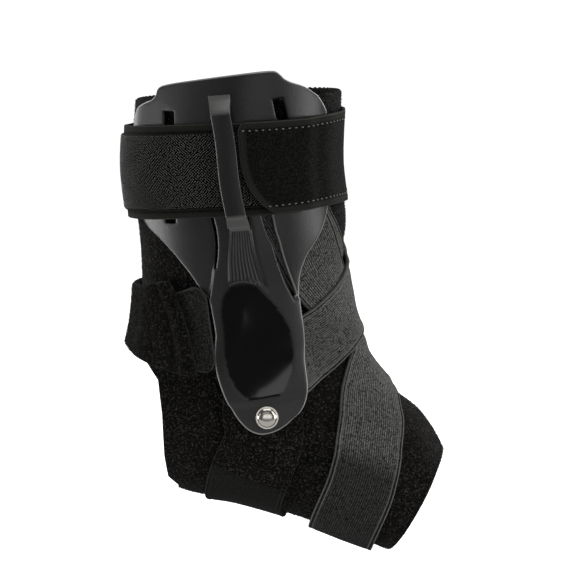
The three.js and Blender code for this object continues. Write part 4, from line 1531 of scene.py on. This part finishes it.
@dataclass
class CalfStrap(Strap):
    """Strap once round the calf: under the keeper, round the back, and over the stay again."""

    stay: Stay | None = None
    first: float = -58.0
    last: float = -446.0
    slant: float = 14.0
    ease: float = 0.2
    stitched_from: float = -300.0
    lap_angle: float = 12.0
    stay_back: float = -172.0
    stay_front: float = -24.0
    stay_fade: float = 18.0
    tape: float = 1.3
    corners: tuple[float, float] = (4.5, 2.0)

    def __post_init__(self) -> None:
        """Lays the route up to the outer end."""
        super().__post_init__()
        self.end = self.route.at_around(self.last)

    def end_at(self, across: Array) -> Array:
        """The outer end slants back at its lower corner, and its corners are rounded."""
        corner = np.where(across < 0.5, *self.corners)
        into = np.clip(1 - np.minimum(across, 1 - across) * self.width / corner, 0, 1)
        return self.end - self.slant * across**4 - corner * (1 - np.sqrt(1 - into**2))

    def under(self, around: Array, along: Array) -> Array:
        """Height over the straps, the stay and, on the second lap, the first lap and its tape.

        Args:
            around, along: places on the form.

        Returns:
            The height of the strap's lower side.
        """
        second = around < -360
        place = np.where(second, around + 360, around)
        inside = np.minimum(place - self.stay_back, self.stay_front - place)
        share = smooth(1 + inside / self.stay_fade)
        below = clearance(self.below, around, along) + self.ease
        height = mix(below, np.maximum(self.stay.over(place) + LAY_GAP, below), share)
        lap = self.thickness + self.tape + LAY_GAP
        onto = smooth((self.first + self.lap_angle - place) / self.lap_angle)
        return height + np.where(second, lap * onto, 0)

    def stitching(self, first: float = 0.0, last: float = 1.0) -> bpy.types.Object:
        """Only the outer lap is stitched along its edges."""
        return super().stitching(self.route.at_around(self.stitched_from) / self.end, last)


@dataclass
class HookTape(Strap):
    """Coarse hook tape on the inner end of the calf strap."""

    strap: CalfStrap | None = None
    seat: float = 0.15
    row: float = 1.45
    hook: float = 1.05
    hook_height: float = 0.5
    hook_radius: float = 0.2

    def under(self, around: Array, along: Array) -> Array:
        """Height of the strap that carries the tape."""
        return self.strap.under(around, along) + self.strap.thickness + self.seat

    def hooks(self) -> bpy.types.Object:
        """Staggered rows of hooks that lean to one side or the other in patches."""
        length = self.end - self.start
        rows = np.arange(1.0, self.width - 0.8, self.row / 2)
        places = np.arange(1.4, length - 1.8, self.row)
        offset, place = np.meshgrid(rows, places, indexing="ij")
        place[1::2] += self.row / 2
        rng = np.random.default_rng(5)
        place = (place + rng.normal(0, 0.14, place.shape)).ravel()
        offset = (offset + rng.normal(0, 0.1, offset.shape)).ravel()
        patch = np.sin(place / 3.1 + 1.7 * np.sin(offset / 4.3)) + rng.normal(0, 0.5, place.shape)
        side = np.where(patch > 0, 0.7, -0.7) * self.hook * rng.uniform(0.7, 1.0, place.shape)
        ends = []
        for half, rise in ((-0.5, 0.1), (0.5, self.hook_height)):
            share = (place + half * 0.7 * self.hook) / length
            ends.append(self.surface(share, (offset + half * side) / self.width, rise))
        outward = FORM.frame(*self.route.beside(self.start + place, offset - self.width / 2))[2]
        piece = new_piece("hook_tape_hooks", *spindles(*ends, outward, self.hook_radius, 1.0))
        return Finishes.put(piece, HOOK_NYLON, Slot.HOOK_TAPE)

    def build(self) -> bpy.types.Object:
        """Makes the ground and its hooks."""
        piece = self.cloth()
        self.declare(piece, [self.hooks()])
        return piece


@dataclass
class FlapTab(Strap):
    """Smooth tab under the free edge of the heel flap."""

    stay: Stay | None = None
    inner_width: float = 32.0
    rise_start: float = -128.0
    rise_angle: float = 20.0
    corner: float = 7.0

    def start_at(self, across: Array) -> Array:
        """The free end has round corners."""
        into = np.clip(1 - np.minimum(across, 1 - across) * self.width / self.corner, 0, 1)
        return self.start + self.corner * (1 - np.sqrt(1 - into**2))

    def width_at(self, share: Array) -> Array:
        """The tab narrows towards the back."""
        return mix(self.width, self.inner_width, share)

    def under(self, around: Array, along: Array) -> Array:
        """Height over the sleeve and, in front, over the stay."""
        on_stay = smooth((around - self.rise_start) / self.rise_angle)
        return mix(LAY_GAP, self.stay.over(around) + LAY_GAP, on_stay)


@dataclass
class HeelFlap(Strap):
    """Thick plush flap behind the ankle, with a raised free edge and a second seam."""

    tab: FlapTab | None = None
    back_width: float = 34.0
    lean: float = 13.0
    rise_margin: float = 16.0
    rise_angle: float = 12.0
    fibres: int = 15000
    roll: float = 2.2
    # Columns: distance from the free edge, share of the depth
    sewn: tuple[tuple[float, float], ...] = ((8.5, 1.3), (20.0, 0.8))
    sewn_width: float = 1.2
    sewn_depth: float = 0.75
    ridge: float = 1.0
    ridge_at: float = 4.5
    ridge_width: float = 2.8

    def width_at(self, share: Array) -> Array:
        """The flap narrows to its back width over half its length."""
        return mix(self.width, self.back_width, smooth(2 * share))

    def start_at(self, across: Array) -> Array:
        """The free edge leans back towards its top corner."""
        return self.lean * (1 - across) ** 2

    def under(self, around: Array, along: Array) -> Array:
        """Height over the sleeve and, in front, over the tab."""
        tab_end = self.tab.table[-1][0]
        on_tab = smooth((around - tab_end + self.rise_margin) / self.rise_angle)
        return mix(LAY_GAP, self.tab.under(around, along) + self.tab.thickness + LAY_GAP, on_tab)

    def relief(self, along: Array, across: Array) -> Array:
        """A padded crown with a ridge at the free edge, a seam behind it and a second seam."""
        edge = self.edge(along, across)
        into = np.clip(1 - edge / self.roll, 0, 1)
        distance = along * (self.end_at(across) - self.start_at(across))
        seams = sum(share * np.exp(-(((distance - at) / self.sewn_width) ** 2)) for at, share in self.sewn)
        ridge = self.ridge * np.exp(-(((distance - self.ridge_at) / self.ridge_width) ** 2))
        return ridge - self.sewn_depth * seams - 0.5 * self.thickness * (1 - np.sqrt(1 - into**2))

    def declare(self, piece: bpy.types.Object, trim: Sequence[bpy.types.Object]) -> None:
        """Does nothing; the flap is padded."""

    def nap(self, seed: int = 7) -> bpy.types.Object:
        """Fibres over the flap's upper side."""
        rng = np.random.default_rng(seed)
        along, across = rng.uniform(0.003, 0.997, self.fibres), rng.uniform(0.01, 0.99, self.fibres)
        points = self.surface(along, across, self.relief(along, across) - 0.1)
        spots = self.route.beside(*self.places(along, across))
        _, down, outward = FORM.frame(*spots)
        return nap_piece("heel_flap_nap", points, outward, unit(down), rng, 0.5)


@dataclass
class Facing(Strap):
    """Plush facing on one end of the band under the sole."""

    band: Strap | None = None

    def under(self, around: Array, along: Array) -> Array:
        """Height of the band that it covers."""
        return self.band.under(around, along) + self.band.thickness + 0.35


@dataclass
class PlushSleeve:
    """The tube of plush laminate with its cut edges and its nap."""

    wall: float = 3.0
    rows: int = 200
    sides: int = 240
    fibres: int = 42000
    lip: float = 1.3
    route_length: float = 300.0
    pinking: float = 0.7
    teeth: int = 80
    flow: float = 0.55
    flat: tuple[float, float] = (0.252, 0.31)
    flat_area: float = 0.0688

    def waves(self, around: Array, along: Array) -> Array:
        """Soft unevenness of the stretched plush, in millimetres."""
        angle = np.radians(around)
        waves = 0.16 * np.sin(3 * angle + 14 * along) + 0.12 * np.sin(5 * angle - 23 * along)
        return waves + 0.1 * np.sin(9 * angle + 31 * along)

    def ends(self, along: Array) -> Array:
        """Drop of the surface towards the two cut ends, which are rolled over."""
        into = np.clip(1 - np.minimum(along, 1 - along) * self.route_length / self.lip, 0, 1)
        return self.wall / 2 * (1 - np.sqrt(1 - into**2))

    def build(self) -> bpy.types.Object:
        """Makes the cloth and cuts the heel opening."""
        close = np.array([0, 0.0005, 0.0015, 0.003, 0.0045])
        along = np.concatenate([close, np.linspace(0.008, 0.992, self.rows - 10), 1 - close[::-1]])
        around = np.arange(self.sides) * 360 / self.sides
        along, around = np.meshgrid(along, around, indexing="ij")
        drop = self.ends(along)
        tooth = np.abs((around / 360 * self.teeth) % 1 - 0.5) * 2
        pinked = along - self.pinking / self.route_length * tooth * (1 - smooth(along / 0.01))
        high = FORM.lifted(around, pinked, self.waves(around, along) - drop)
        low = FORM.lifted(around, pinked, drop - self.wall)
        piece = new_piece("sleeve_cloth", *slab(low, high, closed=True))
        self.open_heel(piece)
        Finishes.put(piece, PLUSH, Slot.PLUSH)
        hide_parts("sleeve")
        return piece

    def open_heel(self, piece: bpy.types.Object) -> None:
        """Cuts the heel opening with a prism of its side view."""
        outline = np.array(HEEL_OPENING) * (FORM.length, FORM.height)
        count = len(outline)
        sides = [np.insert(outline, 1, y, axis=1) for y in (-FORM.width, FORM.width)]
        faces = [tuple(range(count)), tuple(range(2 * count - 1, count - 1, -1))]
        faces += [(k, k + count, (k + 1) % count + count, (k + 1) % count) for k in range(count)]
        mesh = bpy.data.meshes.new("heel_cutter")
        mesh.from_pydata((np.concatenate(sides) * MM).tolist(), [], faces)
        cutter = bpy.data.objects.new("heel_cutter", mesh)
        bpy.context.scene.collection.objects.link(cutter)
        bpy.ops.object.select_all(action="DESELECT")
        bpy.context.view_layer.objects.active = cutter
        cutter.select_set(True)
        bpy.ops.object.mode_set(mode="EDIT")
        bpy.ops.mesh.select_all(action="SELECT")
        bpy.ops.mesh.normals_make_consistent(inside=False)
        bpy.ops.object.mode_set(mode="OBJECT")
        modifier = piece.modifiers.new("heel opening", "BOOLEAN")
        modifier.object = cutter
        modifier.operation = "DIFFERENCE"
        modifier.solver = "EXACT"
        bpy.ops.object.select_all(action="DESELECT")
        bpy.context.view_layer.objects.active = piece
        piece.select_set(True)
        bpy.ops.object.modifier_apply(modifier=modifier.name)
        bpy.data.objects.remove(cutter)

    def nap(self, straps: Sequence[Strap], seed: int = 11) -> bpy.types.Object:
        """Short fibres that lie down along the sleeve, where nothing covers it."""
        rng = np.random.default_rng(seed)
        around, along = rng.uniform(-180, 180, self.fibres * 2), rng.uniform(0, 1, self.fibres * 2)
        points = FORM.lifted(around, along, self.waves(around, along) - 0.1)
        outline = np.array(HEEL_OPENING) * (FORM.length, FORM.height)
        bare = ~inside_outline(points[:, [0, 2]], outline)
        for strap in straps:
            bare &= strap.route.nearest(points) > strap.width / 2 - 0.5
        keep = np.flatnonzero(bare)[: self.fibres]
        _, down, outward = FORM.frame(around[keep], along[keep])
        return nap_piece("sleeve_nap", points[keep], outward, unit(down), rng, self.flow)


# Fibres of the nap: how they stray, and their least and greatest length and foot, in millimetres
FIBRE_STRAY = 0.45
FIBRE_LENGTH = (0.5, 1.25)
FIBRE_FOOT = (0.05, 0.11)
TONE_POWER = 2.5


def nap_piece(
    name: str,
    points: Array,
    outward: Array,
    flow: Array,
    rng: np.random.Generator,
    lean: float,
) -> bpy.types.Object:
    """Makes the fibres of a nap.

    Args:
        name: the piece's name.
        points: where each fibre is rooted.
        outward: the way out at each root.
        flow: the way the nap lies.
        rng: random numbers with a set seed.
        lean: how strongly the fibres follow the flow.

    Returns:
        The piece, in its own material.
    """
    count = len(points)
    loose = rng.normal(0, FIBRE_STRAY, (count, 3))
    length = rng.uniform(*FIBRE_LENGTH, count)[:, None]
    tips = points + unit(outward + flow * lean + loose) * length
    piece = new_piece(name, *tufts(points, tips, rng.uniform(*FIBRE_FOOT, count)))
    give_value(piece, "tone", np.repeat(rng.uniform(0, 1, count) ** TONE_POWER, 4))
    return Finishes.put(piece, NAP, Slot.PLUSH)


@dataclass(frozen=True)
class Lamp:
    """A soft rectangular lamp that faces a point of the object."""

    name: str
    place: tuple[float, float, float]
    size: tuple[float, float]
    power: float

    def build(self, target: Vector) -> None:
        """Hangs the lamp."""
        light = bpy.data.lights.new(self.name, "AREA")
        light.shape = "RECTANGLE"
        light.size, light.size_y = self.size
        light.energy = self.power
        lamp = bpy.data.objects.new(self.name, light)
        lamp.location = self.place
        lamp.rotation_euler = (target - lamp.location).to_track_quat("-Z", "Y").to_euler()
        lamp.visible_camera = False
        bpy.context.scene.collection.objects.link(lamp)


@dataclass
class Studio:
    """Camera, lamps and pale floor."""

    target: tuple[float, float, float] = (0.02158, 0.0, 0.01742)
    elevation: float = 8.0
    distance: float = 1.3
    focal: float = 157.07
    sensor: float = 36.0
    floor_height: float = -0.14
    floor_size: float = 60.0
    dome_radius: float = 29.0
    room: str = "#c8ccd2"
    room_strength: float = 0.1
    lamps: tuple[Lamp, ...] = (
        Lamp("top_softbox", (0.1, -0.35, 1.2), (1.3, 1.0), 5.5),
        Lamp("right_softbox", (1.25, -0.8, 0.55), (0.7, 1.0), 3.6),
        Lamp("left_softbox", (-1.2, -0.9, 0.25), (0.6, 0.8), 0.9),
        Lamp("strip_lamp", (0.0, -2.2, 0.75), (1.4, 0.5), 0.6),
        Lamp("right_card", (1.0, -0.4, -0.05), (0.7, 0.3), 2.6),
        Lamp("left_card", (-0.75, 0.0, -0.11), (0.6, 0.2), 2.4),
        Lamp("front_card", (0.22, -1.5, -0.02), (1.0, 0.42), 1.2),
        Lamp("under_card", (0.02, -0.12, -0.135), (0.5, 0.16), 0.1),
        Lamp("back_right_softbox", (0.9, 0.9, 0.4), (0.6, 0.9), 9.0),
        Lamp("back_left_softbox", (-0.9, 0.9, 0.4), (0.6, 0.9), 6.0),
    )

    def build(self) -> None:
        """Sets up the studio."""
        scene = bpy.context.scene
        scene.view_settings.view_transform = "Standard"
        target = Vector(self.target)
        camera = bpy.data.objects.new("camera", bpy.data.cameras.new("camera"))
        camera.data.lens = self.focal
        camera.data.sensor_width = self.sensor
        camera.data.clip_start = 0.01
        angle = math.radians(self.elevation)
        camera.location = target + Vector((0, -math.cos(angle), math.sin(angle))) * self.distance
        camera.rotation_euler = (target - camera.location).to_track_quat("-Z", "Y").to_euler()
        scene.collection.objects.link(camera)
        scene.camera = camera
        for lamp in self.lamps:
            lamp.build(target)
        world = bpy.data.worlds.new("studio")
        world.use_nodes = True
        world.node_tree.nodes["Background"].inputs["Color"].default_value = linear(self.room)
        world.node_tree.nodes["Background"].inputs["Strength"].default_value = self.room_strength
        scene.world = world
        plane = {"size": self.floor_size, "location": (0, 0, self.floor_height)}
        self.backdrop("floor", lambda: bpy.ops.mesh.primitive_plane_add(**plane), Paper("white_paper"))
        dome = {"radius": self.dome_radius}
        self.backdrop("dome", lambda: bpy.ops.mesh.primitive_uv_sphere_add(**dome), Paper("lit_wall"))

    def backdrop(self, name: str, add: Callable[[], object], finish: Finish) -> None:
        """Sets up white paper behind the object, which gives it no light of its own.

        Args:
            name: the sheet's name.
            add: makes its mesh.
            finish: its material.
        """
        bpy.ops.object.select_all(action="DESELECT")
        add()
        sheet = bpy.context.active_object
        sheet.name = name
        sheet.data.materials.append(finish.build())
        sheet.visible_diffuse = False
        sheet.visible_glossy = False
        sheet.visible_shadow = False


class AnkleSleeve:
    """All the visible pieces, from the sleeve outwards."""

    def __init__(self) -> None:
        """Lays every route in the order in which the straps are sewn on."""
        self.sleeve = PlushSleeve()
        self.stay = Stay()
        plain = {"finish": SOLE_WEB, "slot": Slot.LOOP_CLOTH, "width": 40.0}
        self.stirrup = Strap("stirrup_cloth", "stirrup_band", STIRRUP, thickness=2.0, **plain)
        self.inner_ankle = Strap("ankle_strap_medial_cloth", "ankle_strap_medial", INNER_ANKLE)
        self.inner_instep = Strap(
            "instep_strap_medial_cloth", "instep_strap_medial", INNER_INSTEP, start=3.0,
        )
        # The strap is painted darker as shade for its first 70 to 77 mm, from its end under the sole.
        self.outer_instep = Strap(
            "instep_strap_lateral_cloth", "instep_strap_lateral", OUTER_INSTEP,
            start=3.0, painted_shade_to=(70, 77),
        )
        self.outer_ankle = Strap("ankle_strap_lateral_cloth", "ankle_strap_lateral", OUTER_ANKLE)
        crossed = [self.inner_ankle, self.inner_instep, self.outer_instep, self.outer_ankle]
        for count, strap in enumerate(crossed):
            strap.below = [self.stirrup, *crossed[:count]]
        self.crossed = crossed
        soft = Border(lip=0.5, cord=0.12, grooves=(4.2,), groove=0.12)
        bare = Border(lip=0.4, cord=0.05, grooves=())
        self.calf = CalfStrap(
            "calf_strap_cloth", "calf_strap", CALF_STRAP, width=47.0, thickness=1.3, below=crossed,
            finish=LOOP_CLOTH, slot=Slot.LOOP_CLOTH, border=soft, seams=(4.2,),
            stitch=1.2, stitch_gap=1.6, stitch_radius=0.34, stay=self.stay,
        )
        route = self.calf.route
        self.tape = HookTape(
            "hook_tape_ground", "hook_tape", CALF_STRAP, width=38.0, thickness=0.8,
            start=route.at_around(-62), end=route.at_around(-183),
            finish=HOOK_GROUND, slot=Slot.HOOK_TAPE, border=bare, strap=self.calf,
        )
        self.tab = FlapTab(
            "flap_tab_cloth", "flap_tab", FLAP_TAB, width=44.0,
            finish=TAB_CLOTH, slot=Slot.LOOP_CLOTH, border=bare, stay=self.stay,
        )
        self.flap = HeelFlap(
            "heel_flap_pad", "heel_flap", HEEL_FLAP, width=48.0, thickness=4.0,
            finish=PLUSH, slot=Slot.PLUSH, tab=self.tab,
            border=Border(lip=2.2, cord=0.0, grooves=(3.0,), groove=0.0),
        )
        facing = {
            "node": None, "table": STIRRUP, "width": 39.4, "thickness": 0.6,
            "finish": PLUSH, "slot": Slot.PLUSH, "border": bare, "band": self.stirrup,
        }
        end = self.stirrup.end
        self.facings = [
            Facing("stirrup_facing_lateral", start=0.3, end=40.0, **facing),
            Facing("stirrup_facing_medial", start=end - 40, end=end - 0.3, **facing),
        ]

    def build(self) -> None:
        """Builds the pieces and reports each one."""
        steps = [self.sleeve.build, self.stirrup.build, *(facing.build for facing in self.facings)]
        steps += [strap.build for strap in self.crossed]
        steps += [self.stay.build, self.stay.knurl, Keeper(self.stay).build, Rivet(self.stay).build]
        steps += [self.calf.build, self.tape.build, self.tab.build, self.flap.build, self.flap.nap]
        steps.append(lambda: self.sleeve.nap([self.stirrup, *self.crossed, self.calf, self.flap, self.tab]))
        for step in steps:
            piece = step()
            piece.data.calc_loop_triangles()
            LOG.info("%s: %d triangles", piece.name, len(piece.data.loop_triangles))


def main() -> None:
    """Loads the frame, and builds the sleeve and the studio."""
    logging.basicConfig(level=logging.INFO, format="%(name)s %(message)s")
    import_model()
    AnkleSleeve().build()
    Studio().build()


if __name__ == "__main__":
    main()
